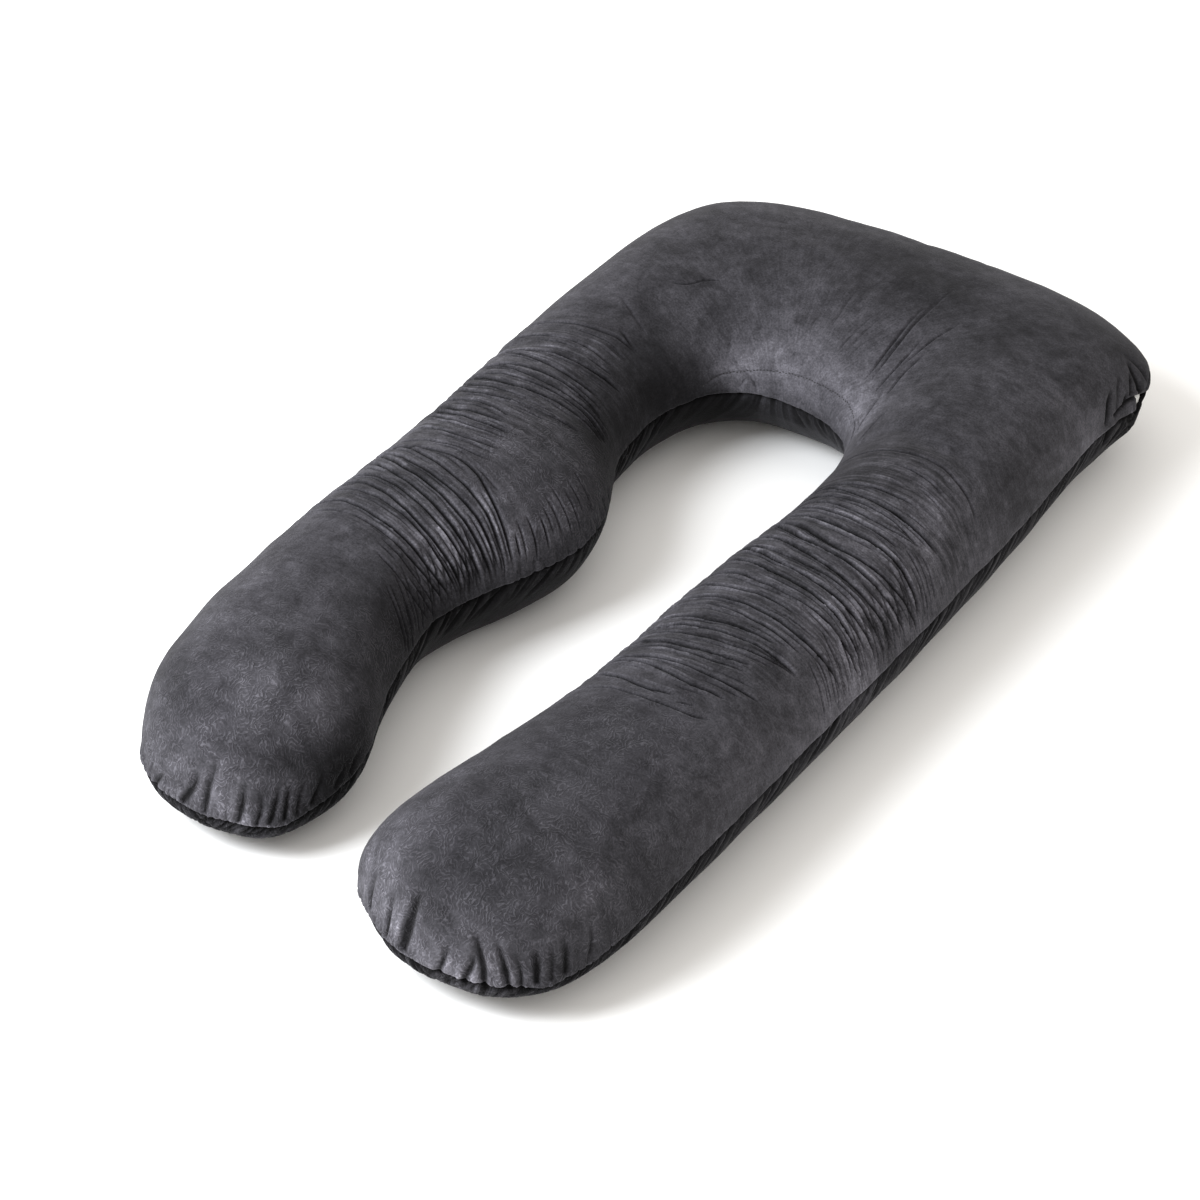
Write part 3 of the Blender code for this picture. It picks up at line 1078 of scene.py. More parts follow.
# %% [markdown]
# ## The seam
# The two panels are sewn face to face and turned, so the seam is a sharp groove. The upper
# panel is the fuller one: it rolls over the groove as a lip, and the lower panel starts
# a little further in. Level cuts give the cover rows of points beside the seam, and each
# row is drawn in or out by a short table.

# %% Cut the seam's rows and draw them in
# How far above the seam, and how far out of the cover, in millimetres.
SEAM_PROFILE = (
    (-14, 0.0),
    (-7, -0.2),
    (-3.5, -1.0),
    (-1.2, -3.0),
    (0, -5.0),
    (1.4, -0.2),
    (3.4, 1.2),
    (7, 1.2),
    (16, 0.0),
)
SEAM_ROWS = (-3.5, -1.2, 0.0, 1.4, 3.4)
# The rows go out along the cover's own outward way, with only this share of its rise.
RISE_SHARE = 0.3
# This near to the gape the seam is open, and the profile is left out.
OPEN_SEAM = 24.7 * MM

for rise in SEAM_ROWS:
    cut_level(cover, rise * MM)
profile = np.array(SEAM_PROFILE) * MM
points = points_of(cover)
outward = outward_of(cover)
outward[:, 2] *= RISE_SHARE
above = points[:, 2] - seam_height(points)
in_the_gape = np.linalg.norm(points - GAPE_PLACE, axis=1) < OPEN_SEAM
drawn = np.interp(above, profile[:, 0], profile[:, 1]) * (~in_the_gape)
points += outward * drawn[:, None]
points[:, 2] = np.maximum(points[:, 2], 0.0)
move_points(cover, points)
print("with its seam the cover has", triangle_count(cover), "triangles")

# %% [markdown]
# ## What the velvet needs to know
# The finish of the velvet changes with the place, and each point carries what it needs: how
# deep in a valley it lies, for the painted shade there, how far above or below the seam, for
# the painted shade and highlight at the seam, its nap and painted light, and how it was curled
# or folded. Two more fields are places to hang a pattern on. One goes round the U and beside
# the folds, since the pile was stroked across the arms, and one goes along the seam, for
# the painted light and shade of the lower panel's pleats.

# %% Table of the patches of nap and of painted light and shade
# Patches of nap and of painted light and shade: place and reach in millimetres, then how much
# paler or darker. Some are the velvet's uneven nap. Others paint shade low on the inner sides
# of the U, or paint highlights where the pile catches the light.
NAP_AND_PAINTED_LIGHT_PATCHES = (
    (-20, 375, 155, 75, 0.60),
    (-65, 348, 130, 42, 0.75),
    (-245, 190, 180, 45, 0.30),
    (300, 300, 170, 45, 0.25),
    (345, 550, 110, 45, 0.25),
    (-98, 90, 105, 45, -0.60),
    (-165, -215, 150, 50, 0.45),
    (-112, -150, 125, 40, 0.35),
    (-75, -575, 70, 45, -0.60),
    (318, -120, 125, 45, 0.50),
    (328, -200, 105, 45, 0.45),
    (305, 80, 150, 45, 0.30),
    (300, -355, 130, 45, 0.30),
    (105, 300, 140, 40, 1.00),
    (320, 500, 130, 60, 0.30),
    (320, -180, 130, 60, 0.30),
    (300, 100, 150, 60, 0.20),
    (-190, 320, 180, 60, 0.20),
    (-65, -532, 74, 45, -0.65),
    (-66, -500, 90, 40, -0.40),
    (-123, 76, 133, 35, -0.45),
    (-151, 151, 138, 40, -0.35),
    (220, -695, 59, 32, 0.60),
    (-158, -630, 93, 35, 0.50),
    (-89, -531, 139, 30, 0.50),
    (-129, -573, 157, 35, 0.40),
    (-89, -589, 89, 30, 0.40),
    (-118, -343, 121, 45, -0.35),
    (-79, -68, 135, 30, 0.40),
    (-144, -227, 149, 40, 0.35),
    (165, -684, 127, 30, -0.35),
    (185, 374, 194, 50, -0.20),
    (298, -235, 172, 35, -0.25),
    (177, -463, 191, 50, -0.20),
    (173, -91, 180, 50, -0.30),
    (299, -592, 137, 45, 0.20),
    (229, -569, 188, 35, 0.25),
    (-262, -331, 188, 40, -0.20),
    (-221, -585, 166, 45, -0.25),
    (295, -100, 173, 40, 0.35),
    (-79, 326, 110, 30, 0.30),
    (73, 333, 140, 30, 0.30),
    (-129, 358, 171, 30, -0.40),
    (-34, 415, 181, 35, -0.20),
    (-50, 542, 197, 45, -0.25),
    (328, 265, 152, 40, -0.20),
    (344, 370, 96, 40, 0.35),
    (344, -130, 105, 35, 0.35),
    (322, -345, 150, 35, 0.25),
    (60, 500, 197, 60, -0.20),
    (150, -600, 170, 60, -0.20),
    (-120, -600, 120, 50, -0.20),
    (205, -250, 160, 50, -0.20),
    (-110, -500, 140, 40, 0.25),
    (-150, 245, 150, 60, -0.70),
    (-115, 240, 110, 60, -0.50),
    (-110, 170, 110, 60, -0.45),
    (-100, 40, 100, 60, -0.45),
    (-135, -110, 150, 60, 0.50),
    (-80, -110, 110, 40, 0.20),
    (-165, -545, 185, 45, 0.15),
    (-110, -500, 150, 40, 0.50),
    (-215, -650, 90, 50, 0.45),
    (-75, -560, 90, 50, -0.50),
    (-75, -420, 100, 70, -0.45),
    (-100, -280, 90, 80, -0.40),
    (-300, -560, 130, 50, -0.30),
    (300, 60, 150, 60, 0.30),
    (300, -60, 150, 60, 0.35),
    (310, -230, 140, 70, 0.35),
    (310, -390, 130, 50, 0.40),
    (290, -590, 150, 60, 0.25),
    (170, 250, 160, 80, -0.35),
    (150, 120, 160, 70, -0.30),
    (130, -450, 150, 80, -0.40),
    (150, -560, 170, 60, -0.30),
    (150, -695, 80, 40, 0.50),
    (75, -670, 110, 45, 0.30),
    (60, 560, 195, 90, -0.50),
    (200, 480, 197, 70, -0.40),
    (300, 610, 170, 60, -0.30),
    (250, 400, 180, 60, 0.20),
    (325, -40, 150, 50, 0.35),
    (325, 170, 145, 50, 0.25),
    (340, 420, 120, 60, 0.30),
    (305, 430, 170, 45, 0.20),
    (-140, -205, 155, 60, 0.40),
    (-105, -130, 140, 35, 0.20),
    (-66, -530, 90, 35, -0.40),
    (-225, -610, 125, 55, -0.30),
    (200, -645, 165, 50, -0.35),
    (325, -570, 80, 45, -0.40),
    (285, -580, 155, 35, -0.25),
    (75, -667, 90, 35, 0.35),
    (103, -596, 169, 35, 0.30),
    (-145, 100, 140, 60, -0.30),
    (-55, 335, 114, 25, -0.25),
    (310, -372, 155, 40, -0.30),
    (-280, -150, 180, 45, 0.30),
    (176, 82, 173, 40, -0.30),
    (-240, 105, 190, 55, 0.28),
    (265, 60, 188, 55, 0.27),
    (-226, -416, 193, 45, 0.25),
    (-248, 221, 196, 35, -0.28),
    (-164, -96, 190, 35, -0.25),
    (40, 425, 185, 60, -0.22),
    (245, -169, 189, 35, -0.25),
    (-114, -350, 113, 40, -0.25),
    (180, -420, 190, 55, -0.22),
    (282, -639, 123, 30, 0.25),
    (218, -58, 191, 35, 0.20),
    (273, 190, 189, 40, 0.20),
    (326, -302, 147, 35, 0.25),
    (-152, 277, 155, 35, 0.25),
    (-185, 385, 192, 13, -0.20),
    (-165, 378, 191, 13, -0.20),
    (-100, 300, 35, 60, -0.65),
    (-20, 335, 35, 60, -0.65),
    (70, 320, 35, 60, -0.65),
    (-140, 190, 35, 60, -0.50),
    (-110, 80, 35, 60, -0.55),
    (-85, -10, 35, 60, -0.60),
    (-90, -100, 35, 60, -0.60),
    (-110, -200, 35, 60, -0.60),
    (-90, -300, 35, 60, -0.50),
    (-70, -400, 35, 60, -0.50),
    (-60, -500, 35, 50, -0.40),
    (-105, 310, 118, 28, 0.35),
    (-110, 310, 55, 40, -0.35),
    (-145, 200, 72, 32, 0.75),
    (-130, 60, 150, 35, -0.30),
    (-65, -55, 112, 25, 0.30),
    (-145, -250, 150, 28, 0.25),
    (-128, -205, 140, 25, 0.20),
    (-121, -225, 108, 25, -0.25),
    (-80, -567, 92, 32, 0.70),
    (-118, -620, 40, 32, 0.70),
    (-141, -530, 178, 30, 0.25),
    (-223, -624, 108, 30, -0.25),
    (-240, -480, 187, 40, -0.20),
    (-62, -520, 80, 30, -0.25),
    (128, -693, 90, 26, 0.30),
    (105, -688, 55, 22, -0.35),
    (150, -697, 50, 22, -0.45),
    (205, -695, 45, 30, 0.70),
    (250, -683, 35, 25, 0.35),
    (289, -655, 92, 28, -0.30),
    (347, -100, 85, 60, 0.45),
    (347, 0, 85, 50, 0.25),
    (347, 170, 78, 60, 0.45),
    (347, 70, 80, 50, 0.30),
    (345, -220, 86, 60, 0.30),
    (343, -320, 86, 60, 0.20),
    (343, 450, 107, 30, 0.25),
    (345, 485, 80, 25, 0.45),
    (344, 70, 120, 35, -0.25),
    (292, -245, 176, 30, -0.20),
    (322, -358, 150, 28, 0.25),
    (310, -480, 152, 45, 0.20),
    (-150, -85, 185, 45, -0.22),
    (176, 82, 173, 30, -0.20),
    (-69, 495, 198, 35, -0.20),
    (-49, 393, 173, 30, -0.20),
    (60, 355, 155, 32, 0.22),
    (347, 521, 112, 30, -0.20),
    (347, -120, 85, 55, 0.35),
    (347, 140, 77, 40, 0.35),
    (347, 30, 82, 50, 0.20),
    (-122, -620, 39, 28, 0.40),
    (-145, 200, 68, 28, 0.35),
    (-66, -530, 86, 28, -0.25),
    (340, -195, 122, 32, -0.25),
    (337, -379, 123, 32, -0.20),
    (206, -694, 44, 24, 0.30),
    (343, 450, 107, 28, 0.25),
    (341, -131, 122, 30, -0.20),
    (-132, 45, 163, 28, -0.25),
)
print("the velvet has", len(NAP_AND_PAINTED_LIGHT_PATCHES), "brushed patches")

# %% Tables of the curled and the folded places
# Where the fine curls of the pile stand out: place and reach in millimetres.
CURLED = (
    (-175, -610, 110, 200),
    (200, -670, 110, 210),
    (220, -420, 150, 80),
    (-125, -25, 160, 105),
    (-100, -380, 140, 60),
)
# Where the folds are, and so the finest wrinkles beside them.
FOLDED = (
    (250, 110, 150, 120),
    (250, -50, 150, 140),
    (215, -225, 160, 95),
    (-230, 130, 150, 110),
    (-230, 0, 150, 120),
    (-200, -180, 150, 110),
)


def greatest_hill(points, rows):
    """The greatest at each point of the smooth hills of a table."""
    return np.max([hill(points, row[:3], row[3]) for row in rows], axis=0)


final = points_of(cover)
curled = greatest_hill(final, CURLED)
folded = greatest_hill(final, FOLDED)
print("curled", round(curled.mean(), 2), "and folded", round(folded.mean(), 2), "on average")

# %% Find the way round the U and beside the folds
# The middle line of the U is a half circle round here, and straight below it.
BEND_CENTRE = np.array((0.0, 0.300))
BEND_RADIUS = 0.25
# Beyond the first and last fold, the measure goes on as if to a fold this far away.
FAR_FOLD = 0.7
THINNEST_GAP = 0.1 * MM


def round_the_bend(points):
    """How far round the U each point lies, and how far from the line of its middle."""
    x = points[:, 0]
    y = points[:, 1] - BEND_CENTRE[1]
    half_turn = BEND_RADIUS * math.pi
    bent = BEND_RADIUS * np.arctan2(np.maximum(y, 0.0), x)
    right = np.where(y < 0, y, bent)
    left = np.where(y < 0, half_turn - y, bent)
    round_it = np.where(x > 0, right, left)
    away = np.where(y < 0, np.abs(x), np.hypot(x, y))
    return np.stack((round_it, away, points[:, 2]), axis=1)


def combed(points, rows):
    """The places of points along an arm, in a measure that is the same all along each fold,
    so that whatever follows it runs beside the folds."""
    table = np.array(rows)[:, :8] * MM
    lines = [np.interp(points[:, 0], row[0::2], row[1::2]) for row in table]
    lines = np.sort(np.stack(lines, axis=1), axis=1)
    marks = np.sort(table[:, 1::2].mean(axis=1))
    lines = np.hstack((lines[:, :1] - FAR_FOLD, lines, lines[:, -1:] + FAR_FOLD))
    marks = np.concatenate((marks[:1] - FAR_FOLD, marks, marks[-1:] + FAR_FOLD))
    y = points[:, 1]
    after = np.clip((lines < y[:, None]).sum(axis=1), 1, len(marks) - 1)
    rows_at = np.arange(len(points))
    low, high = lines[rows_at, after - 1], lines[rows_at, after]
    share = (y - low) / np.maximum(high - low, THINNEST_GAP)
    return marks[after - 1] + share * (marks[after] - marks[after - 1])


bend = round_the_bend(final)
in_arms = final[:, 1] < BEND_CENTRE[1]
along_right = combed(final, RIGHT_FOLDS) - BEND_CENTRE[1]
along_left = BEND_RADIUS * math.pi - (combed(final, LEFT_FOLDS) - BEND_CENTRE[1])
bend[:, 0] = np.where(in_arms, np.where(final[:, 0] > 0, along_right, along_left), bend[:, 0])
print("the way round the U is", round(np.ptp(bend[:, 0]), 2), "m long")


# %% Find the places along the seam
def nearest_of(places, points):
    """The number of the place nearest to each of the points."""
    search = search_among(places)
    return np.array([search.find(point)[1] for point in points])


def pleat_places(points):
    """Where along the seam the pleat of each point begins. The pleats lean towards the
    arms' tips as they go down, so the drop below the seam counts too."""
    forward = np.gradient(seam, axis=0)
    forward /= np.linalg.norm(forward, axis=1, keepdims=True)
    number = nearest_of(seam, points)
    ahead = ((points - seam[number]) * forward[number])[:, :2].sum(axis=1)
    drop = np.maximum(seam_height(points) - points[:, 2], 0.0)
    return seam_walked[number] + ahead + forward[number, 1] * drop


pleated = pleat_places(final)
print("the pleats' places go from", round(pleated.min(), 2), "to", round(pleated.max(), 2), "m")

# %% Store the fields of the velvet
# The colour is painted darkest in a valley this deep.
DEEP = 4.5 * MM
NEAR_SEAM = 8 * MM
# Painted light and shade by facing: slopes that face this way are painted paler and the opposite
# ones darker.
PAINTED_LIGHT_WAY = Vector((-0.62, -0.72, -0.32))
PAINTED_LIGHT_CHANGE = 0.42

nearest = nearest_of(dense, final)
nap_and_painted_light = PAINTED_LIGHT_CHANGE * (outward_of(cover) @ np.array(PAINTED_LIGHT_WAY))
# The patches of nap and of painted light and shade are added to the painted facing term.
for x, y, z, reach, strength in NAP_AND_PAINTED_LIGHT_PATCHES:
    nap_and_painted_light += strength * hill(final, (x, y, z), reach)
# The valley field carries the painted shade of the folds, and its negative values the painted
# highlight on their crests.
fields = {
    "valley": np.clip(painted_shade_depths[nearest] / DEEP, -1, 1),
    "above_seam": np.clip((final[:, 2] - seam_height(final)) / NEAR_SEAM, -1, 1),
    "stored_nap_and_painted_light": np.exp(nap_and_painted_light),
    "curled": curled,
    "folded": folded,
    "pleated": pleated,
}
for name, values in fields.items():
    layer = cover.data.attributes.new(name, "FLOAT", "POINT")
    layer.data.foreach_set("value", values.astype(np.float32))
layer = cover.data.attributes.new("round_the_bend", "FLOAT_VECTOR", "POINT")
layer.data.foreach_set("vector", bend.astype(np.float32).ravel())
cover.data.shade_smooth()
print("stored", len(fields) + 1, "fields on", len(final), "points")

# %% [markdown]
# ## Velvet
# Velvet is a short standing pile: dark where one looks into it, pale where it is seen
# across, and patchy where hands have stroked it. A sheen gives the pale edges. Three sizes
# of noise give the patches of nap, the mottling and the single tufts, and stretched ones
# give the strokes of a hand and the painted light and shade of the finest wrinkles beside
# the folds. The colour also has painted shade in the valleys, in the seam's groove and over
# the lower panel, painted highlight on the crests and on the seam's lip, painted light and
# shade on the lower panel's pleats, and painted light on the slopes that face the front and
# left. An image would need a map of the whole cover, while all of this reads the place and
# the stored fields. The fine curls that are pressed into the pile are short arcs, one set to
# each cell of a Voronoi pattern.

# %% Short words for the nodes of a material
# The curls are short arcs side by side, in cells of chance shape: how many cells to a
# metre, how far off the middles of the arcs lie in cells, and how close the arcs are.
CURL_CELLS = 92
CURL_MIDDLES = (5.0, 5.0, 2.0)
CURL_PITCH = 3.7 * MM
# The cells' places are bent by a noise with this many bends to a cell.
CELL_WARP = 1.3
# Painted shade and highlight by height above the seam: the lower panel and the groove under
# the lip are painted darker, and the lip's edge paler. Each row: the share of NEAR_SEAM, and the
# shade.
SEAM_PAINTED_SHADES = (
    (-1.0, 0.22),
    (-0.2, 0.17),
    (-0.03, 0.08),
    (0.06, 0.9),
    (0.2, 1.5),
    (0.42, 1.25),
    (0.7, 1.0),
)
# A ramp holds no value above 1, so its shades are divided by this and multiplied again.
MOST_SHADE = 2.0


class Shading:
    """Short words for the nodes of one material."""

    def __init__(self, name, roughness):
        self.material = bpy.data.materials.new(name)
        self.material.use_nodes = True
        self.nodes = self.material.node_tree.nodes
        self.links = self.material.node_tree.links
        self.shader = self.nodes["Principled BSDF"]
        self.shader.inputs["Roughness"].default_value = roughness
        self.place = self.nodes.new("ShaderNodeTexCoord").outputs["Object"]

    def make(self, kind, settings=(), **inputs):
        """A node with its settings and its inputs, which are numbers or other outputs."""
        node = self.nodes.new(kind)
        for name, value in dict(settings).items():
            setattr(node, name, value)
        for name, value in inputs.items():
            socket = node.inputs[int(name[1:])] if name[1:].isdigit() else node.inputs[name]
            if isinstance(value, bpy.types.NodeSocket):
                self.links.new(value, socket)
            else:
                socket.default_value = value
        return node

    def noise(self, scale, detail, roughness, distortion, place=None):
        """Cloudy noise, in places per metre."""
        return self.make(
            "ShaderNodeTexNoise",
            Vector=place or self.place,
            Scale=scale,
            Detail=detail,
            Roughness=roughness,
            Distortion=distortion,
        ).outputs["Fac"]

    def spread(self, source, low, high, to_low, to_high):
        """The source's range from low to high, spread over another range."""
        return self.make(
            "ShaderNodeMapRange",
            _0=source,
            _1=low,
            _2=high,
            _3=to_low,
            _4=to_high,
        ).outputs["Result"]

    def clouded(self, row, place=None):
        """A shade that goes by a noise: a row of its four numbers and its spread."""
        return self.spread(self.noise(*row[:4], place), *row[4:])

    def faded(self, shade, share):
        """A shade drawn nearer to 1, all the way where the share is 0."""
        change = self.maths("SUBTRACT", shade, 1.0)
        return self.maths("ADD", self.product(change, share), 1.0)

    def ramp(self, source, stops):
        """A shade that goes by a table, from a source between -1 and 1."""
        node = self.make("ShaderNodeValToRGB", Fac=self.spread(source, -1.0, 1.0, 0.0, 1.0))
        while len(node.color_ramp.elements) < len(stops):
            node.color_ramp.elements.new(1.0)
        for element, (place, shade) in zip(node.color_ramp.elements, stops):
            element.position = (place + 1) / 2
            element.color = (shade / MOST_SHADE,) * 3 + (1.0,)
        return self.product(node.outputs["Color"], MOST_SHADE)

    def stored(self, name):
        """A number stored on the piece's points."""
        return self.make("ShaderNodeAttribute", {"attribute_name": name}).outputs["Fac"]

    def maths(self, operation, first, second):
        """Two numbers added, multiplied and so on."""
        node = self.make("ShaderNodeMath", {"operation": operation}, _0=first, _1=second)
        return node.outputs["Value"]

    def product(self, *factors):
        """All the factors multiplied."""
        total = factors[0]
        for factor in factors[1:]:
            total = self.maths("MULTIPLY", total, factor)
        return total

    def vectors(self, operation, first, second):
        """Two places added, subtracted and so on, or the distance between them."""
        node = self.make("ShaderNodeVectorMath", {"operation": operation}, _0=first, _1=second)
        return node.outputs["Value" if operation == "DISTANCE" else "Vector"]

    def arcs(self):
        """Short arcs side by side, from -1 to 1, with their middles outside their cells."""
        cells = self.vectors("MULTIPLY", self.place, (CURL_CELLS,) * 3)
        warp = self.make("ShaderNodeTexNoise", Vector=cells, Scale=CELL_WARP, Detail=1.0)
        cells = self.vectors("ADD", cells, warp.outputs["Color"])
        cell = self.make("ShaderNodeTexVoronoi", Vector=cells, Scale=1.0)
        off = self.vectors("SUBTRACT", cell.outputs["Color"], (0.5, 0.5, 0.5))
        off = self.vectors("MULTIPLY", off, CURL_MIDDLES)
        middle = self.vectors("ADD", cell.outputs["Position"], off)
        away = self.vectors("DISTANCE", cells, middle)
        turned = self.product(away, 2 * math.pi / (CURL_PITCH * CURL_CELLS))
        return self.make("ShaderNodeMath", {"operation": "SINE"}, _0=turned).outputs["Value"]

    def colour(self, colour, factor):
        """Give the shader a colour times a factor."""
        settings = {"operation": "SCALE"}
        node = self.make("ShaderNodeVectorMath", settings, _0=colour, Scale=factor)
        self.links.new(node.outputs["Vector"], self.shader.inputs["Base Color"])

    def relief(self, height, depth):
        """Give the shader a fine relief."""
        node = self.make("ShaderNodeBump", Height=height, Distance=depth, Strength=1.0)
        self.links.new(node.outputs["Normal"], self.shader.inputs["Normal"])


print("a curl's cell is", round(1 / CURL_CELLS / MM, 1), "mm wide")

# %% Numbers of the velvet
VELVET_COLOUR = (0.0360, 0.0350, 0.0402)
VELVET_ROUGHNESS = 0.9
VELVET_SHEEN = {
    "Sheen Weight": 0.07,
    "Sheen Roughness": 0.4,
    "Sheen Tint": (0.85, 0.84, 0.90, 1.0),
    "Specular IOR Level": 0.12,
}
# Each noise: places to a metre, detail, roughness and distortion. Then its spread: from
# which value to which, and the two shades for them.
PATCHES = (11, 6, 0.7, 0.8, 0.35, 0.65, 0.64, 1.45)
MOTTLE = (55, 5, 0.7, 0.5, 0.3, 0.7, 0.66, 1.38)
STROKES = (170, 4, 0.65, 0.3, 0.3, 0.7, 0.60, 1.45)
TUFTS = (420, 3, 0.6, 0.0, 0.3, 0.7, 0.62, 1.4)
UNEVEN_CURLS = (60, 2, 0.5, 0.0, 0.35, 0.62, 0.15, 1.0)
# Painted light and shade of the lower panel's pleats: pale and dark bands along the seam.
PAINTED_PLEAT_SHADES = (90, 3, 0.65, 0.0, 0.42, 0.68, 0.45, 3.0)
WRINKLES = (230, 3, 0.6, 0.15)
# Other spreads, of the stored fields and of what is made of them.
# The finest wrinkles are painted paler on their crests and darker between, besides their relief.
WRINKLE_PAINTED_LIGHTS = (0.36, 0.64, 0.58, 1.45)
CURL_SHADES = (0.0, 1.0, 0.88, 1.75)
CURLED_SPREAD = (0.0, 0.8, 0.1, 1.1)
FOLDED_SPREAD = (0.25, 0.7, 0.0, 1.0)
UNDER_THE_SEAM = (-0.1, 0.0, 1.0, 0.0)
# Painted shade in the valleys and painted highlight on the crests, by the stored valley depth.
PAINTED_VALLEY_SHADES = (0.04, 0.7, 1.0, 0.13)
PAINTED_CREST_LIGHTS = (-0.26, -0.01, 1.6, 1.0)
STROKES_IN_FOLDS = (0.0, 1.0, 0.45, 0.9)
TUFTS_IN_FOLDS = (0.0, 1.0, 0.8, 1.0)
# The places are multiplied by these, so the strokes and the wrinkles come out long.
STROKE_STRETCH = (1.0, 0.14, 0.14)
WRINKLE_STRETCH = (1.0, 0.05, 0.05)
# Among the curls the other noises are calmer: the most of them, and what a curl takes.
MOST_CALM = 1.1
CURL_CALMS = 0.3
# The relief: its depth, and the shares of the curls, the tufts and the wrinkles.
RELIEF_DEPTH = 0.9 * MM
CURL_RELIEF = 0.8
TUFT_RELIEF = 0.3
WRINKLE_RELIEF = 2.4
print("the velvet's colour is", VELVET_COLOUR)


# %% Make the velvet
def velvet_material():
    """Velvet, darker in its valleys and on the lower panel."""
    velvet = Shading("velvet", VELVET_ROUGHNESS)
    for name, value in VELVET_SHEEN.items():
        velvet.shader.inputs[name].default_value = value
    round_it = velvet.make("ShaderNodeAttribute", {"attribute_name": "round_the_bend"})
    round_it = round_it.outputs["Vector"]
    curled = velvet.spread(velvet.stored("curled"), *CURLED_SPREAD)
    folded = velvet.spread(velvet.stored("folded"), *FOLDED_SPREAD)
    calm = velvet.maths("SUBTRACT", MOST_CALM, velvet.product(curled, CURL_CALMS))

    patches = velvet.clouded(PATCHES)
    mottle = velvet.faded(velvet.clouded(MOTTLE), calm)
    strokes = velvet.clouded(STROKES, velvet.vectors("MULTIPLY", round_it, STROKE_STRETCH))
    stroked = velvet.product(calm, velvet.spread(folded, *STROKES_IN_FOLDS))
    strokes = velvet.faded(strokes, stroked)
    tufts = velvet.clouded(TUFTS)
    tufted = velvet.product(calm, velvet.spread(folded, *TUFTS_IN_FOLDS))
    tuft_shade = velvet.faded(tufts, tufted)

    arcs = velvet.spread(velvet.arcs(), 0.0, 1.0, 0.0, 1.0)
    curls = velvet.product(arcs, velvet.clouded(UNEVEN_CURLS), curled)
    curl_shade = velvet.spread(curls, *CURL_SHADES)

    # Painted light and shade of the finest wrinkles beside the folds.
    wrinkles_place = velvet.vectors("MULTIPLY", round_it, WRINKLE_STRETCH)
    wrinkles = velvet.noise(*WRINKLES, wrinkles_place)
    painted_wrinkle_light = velvet.faded(velvet.spread(wrinkles, *WRINKLE_PAINTED_LIGHTS), folded)

    # Painted light and shade of the pleats, below the seam only.
    pleated = velvet.make("ShaderNodeCombineXYZ", X=velvet.stored("pleated")).outputs["Vector"]
    under = velvet.spread(velvet.stored("above_seam"), *UNDER_THE_SEAM)
    painted_pleat_shade = velvet.faded(velvet.clouded(PAINTED_PLEAT_SHADES, pleated), under)

    # Painted shade in the valleys and painted highlight on the crests.
    painted_valley_shade = velvet.spread(velvet.stored("valley"), *PAINTED_VALLEY_SHADES)
    painted_crest_light = velvet.spread(velvet.stored("valley"), *PAINTED_CREST_LIGHTS)
    # Painted shade over the lower panel and in the seam's groove, painted highlight on the lip.
    panel = velvet.ramp(velvet.stored("above_seam"), SEAM_PAINTED_SHADES)
    # The pile's own tones with the painted light of the wrinkles, then the painted light and
    # shade of the form with the nap.
    pile_tones_and_painted_wrinkle_light = (patches, mottle, strokes, tuft_shade, curl_shade, painted_wrinkle_light)
    painted_shades_and_nap = (painted_pleat_shade, painted_valley_shade, painted_crest_light, panel, velvet.stored("stored_nap_and_painted_light"))
    velvet.colour(VELVET_COLOUR, velvet.product(*pile_tones_and_painted_wrinkle_light, *painted_shades_and_nap))

    tuft_height = velvet.product(tufts, TUFT_RELIEF)
    height = velvet.maths("ADD", velvet.product(curls, CURL_RELIEF), tuft_height)
    wrinkle_height = velvet.product(wrinkles, folded, WRINKLE_RELIEF)
    velvet.relief(velvet.maths("ADD", height, wrinkle_height), RELIEF_DEPTH)
    return velvet.material


cover.data.materials.clear()
cover.data.materials.append(velvet_material())
print("the cover is dressed in", len(cover.data.materials[0].node_tree.nodes), "nodes of velvet")

# %% [markdown]
# ## The topstitching
# Round the inside of the neck one short line of stitches holds the velvet flat. Its course
# is the one that already drew the velvet in a little, and a short crease goes on from its
# right end. It is sewn with dark thread. A bump could show the stitches from near by, but
# they would be missing from the mesh, so they are one mesh of small lengthened beads.

# %% Sew the topstitching
STITCH_PITCH = 4.2 * MM
STITCH_HALF_SIZES = (1.3 * MM, 0.9 * MM, 0.7 * MM)
STITCH_SINK = 0.1 * MM
THREAD_COLOUR = (0.008, 0.008, 0.009)
THREAD_ROUGHNESS = 0.6
TWIST = (1500, 2, 0.5, 0.0, 0.3, 0.7, 0.6, 1.4)
TWIST_DEPTH = 0.1 * MM


def evenly(path, pitch):
    """Places at an even pitch along a path, with the way it goes there."""
    walked = walked_along(path)
    stops = np.arange(pitch / 2, walked[-1], pitch)
    places = np.stack([np.interp(stops, walked, path[:, axis]) for axis in range(3)], axis=1)
    return places, np.gradient(places, axis=0)


def sew(piece_name, tree, path):
    """Stitches along a path on a surface, as one piece."""
    shape = bmesh.new()
    for place, way in zip(*evenly(path, STITCH_PITCH)):
        found, normal = tree.find_nearest(Vector(place))[:2]
        forward = Vector(way).normalized()
        side = normal.cross(forward).normalized()
        axes = Matrix((forward, side, normal)).transposed().to_4x4()
        sizes = Matrix.Diagonal((*STITCH_HALF_SIZES, 1.0))
        put = Matrix.Translation(found - normal * STITCH_SINK) @ axes @ sizes
        bmesh.ops.create_icosphere(shape, subdivisions=2, radius=1.0, matrix=put)
    bmesh.ops.recalc_face_normals(shape, faces=shape.faces)
    piece = piece_from(shape, piece_name)
    piece.data.shade_smooth()
    return piece


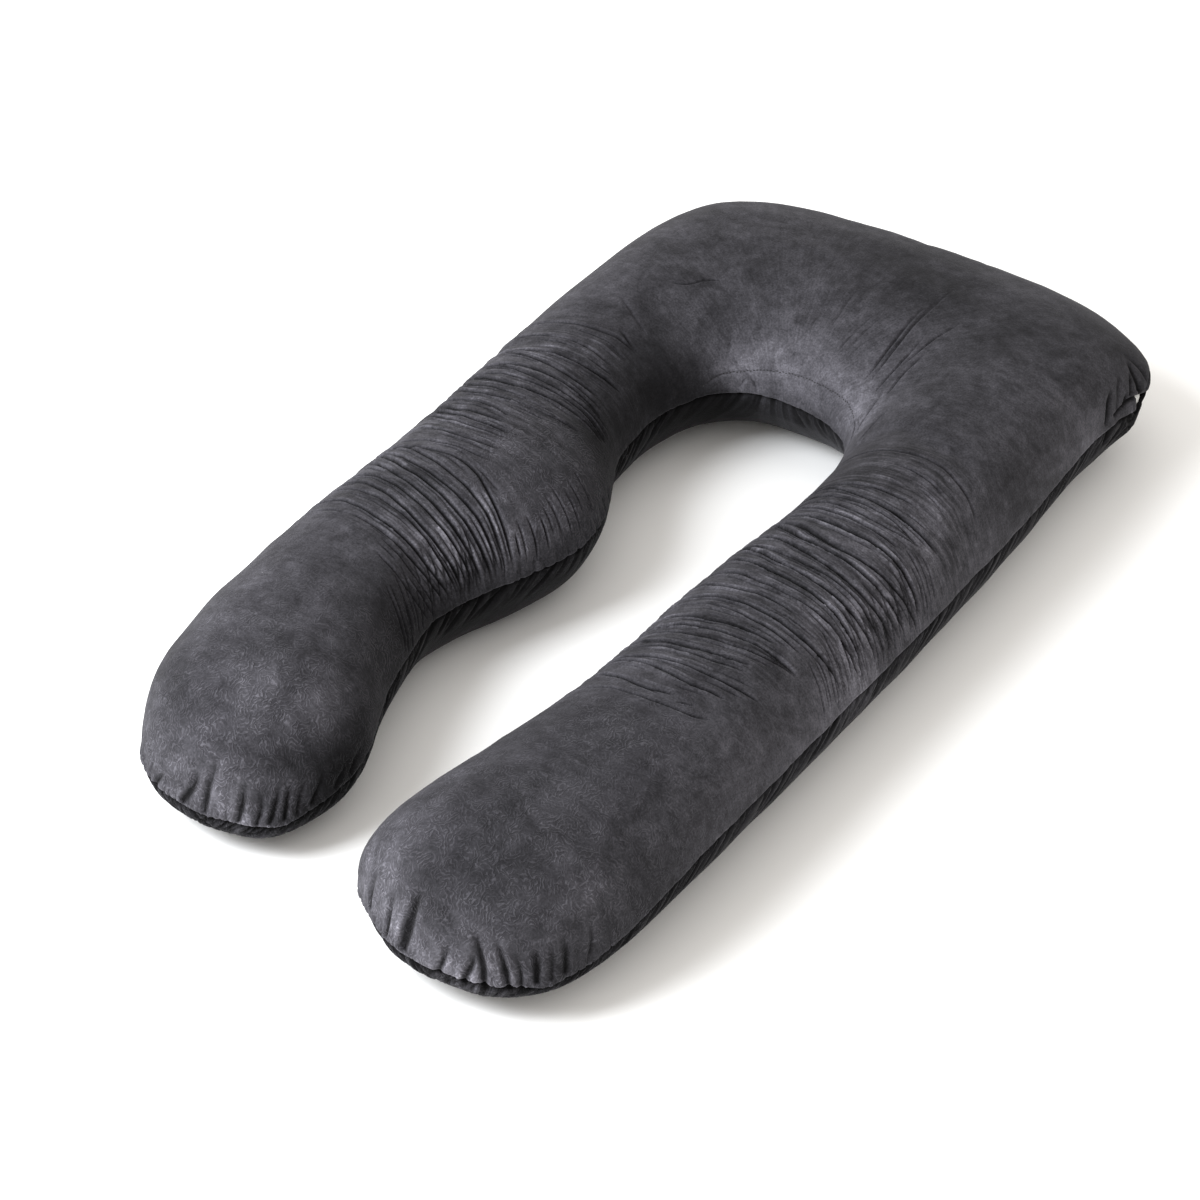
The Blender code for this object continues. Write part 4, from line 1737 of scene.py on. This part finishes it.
def thread_material():
    """Dark twisted thread."""
    thread = Shading("thread", THREAD_ROUGHNESS)
    twist = thread.clouded(TWIST)
    thread.colour(THREAD_COLOUR, twist)
    thread.relief(twist, TWIST_DEPTH)
    return thread.material


stitches = sew("topstitching", surface_finder(cover), stitch_line)
stitches.data.materials.append(thread_material())
print("the topstitching has", len(stitches.data.polygons), "faces")

# %% [markdown]
# ## The casing in the gape
# The stuffing is held by an inner casing of plain white cloth. Only a fold of it shows, so
# a bulging lens of cloth behind the opening is enough for it, with a few small wrinkles. A
# whole casing would only hide inside the velvet. It stays within the cover all round.

# %% Make the casing
CASING_HALF_SIZES = (19 * MM, 9.5 * MM, 7.5 * MM)
# Its middle from the gape's: along it, toward its lower side, and outward.
CASING_SHIFT = (-4 * MM, -2 * MM, -10.5 * MM)
CASING_ROUND = 64
CASING_RINGS = 40
CASING_WRINKLE = 0.5 * MM
WRINKLE_WAVE = np.array((700.0, 420.0, 300.0))
CASING_COLOUR = (0.78, 0.78, 0.76)
CASING_ROUGHNESS = 0.9
# The casing's creases: their relief, and painted shade that greys the cloth in them.
CASING_CREASE_RELIEF_AND_SHADE = (90, 3, 0.5, 1.0, 0.3, 0.7, 0.72, 1.1)
CASING_CREASE_DEPTH = 1.2 * MM
# Threads to a metre, and how dark the ones behind are.
THREADS = 2400.0
BACK_THREAD = 0.94


def casing_material():
    """Plain white woven cloth."""
    cloth = Shading("white_casing", CASING_ROUGHNESS)
    # Painted shade in the casing's creases, from the same noise as their relief.
    creases = cloth.clouded(CASING_CREASE_RELIEF_AND_SHADE)
    threads = cloth.vectors("MULTIPLY", cloth.place, (THREADS,) * 3)
    weave = cloth.make("ShaderNodeTexChecker", Vector=threads, Scale=1.0).outputs["Fac"]
    weave = cloth.spread(weave, 0, 1, BACK_THREAD, 1.0)
    cloth.colour(CASING_COLOUR, cloth.product(creases, weave))
    cloth.relief(creases, CASING_CREASE_DEPTH)
    return cloth.material


def stuffed_fold(name, axes, middle):
    """A bulging fold of the casing, with a few small wrinkles."""
    shape = bmesh.new()
    put = Matrix.Translation(middle) @ axes @ Matrix.Diagonal((*CASING_HALF_SIZES, 1.0))
    bmesh.ops.create_uvsphere(
        shape,
        u_segments=CASING_ROUND,
        v_segments=CASING_RINGS,
        radius=1.0,
        matrix=put,
    )
    bmesh.ops.recalc_face_normals(shape, faces=shape.faces)
    fold = piece_from(shape, name)
    points = points_of(fold)
    wrinkles = np.sin(points @ WRINKLE_WAVE) * CASING_WRINKLE
    move_points(fold, points + outward_of(fold) * wrinkles[:, None])
    fold.data.shade_smooth()
    return fold


gape_axes = Matrix((gape_course, gape_side, facing)).transposed().to_4x4()
casing_middle = Vector(GAPE_PLACE) + gape_axes @ Vector(CASING_SHIFT)
casing = stuffed_fold("casing_in_the_gape", gape_axes, casing_middle)
casing.data.materials.append(casing_material())
print("the casing has", triangle_count(casing), "triangles")

# %% [markdown]
# ## Say what each piece is
# The cover and the casing stand for the two solids, and the stitches ride along.

# %% Tie the pieces to the solids
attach(cover, "root")
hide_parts("pillow")
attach(stitches, "root")
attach(casing, "root")
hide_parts("inner_casing")
print("the pieces are", ", ".join(piece.name for piece in (cover, stitches, casing)))
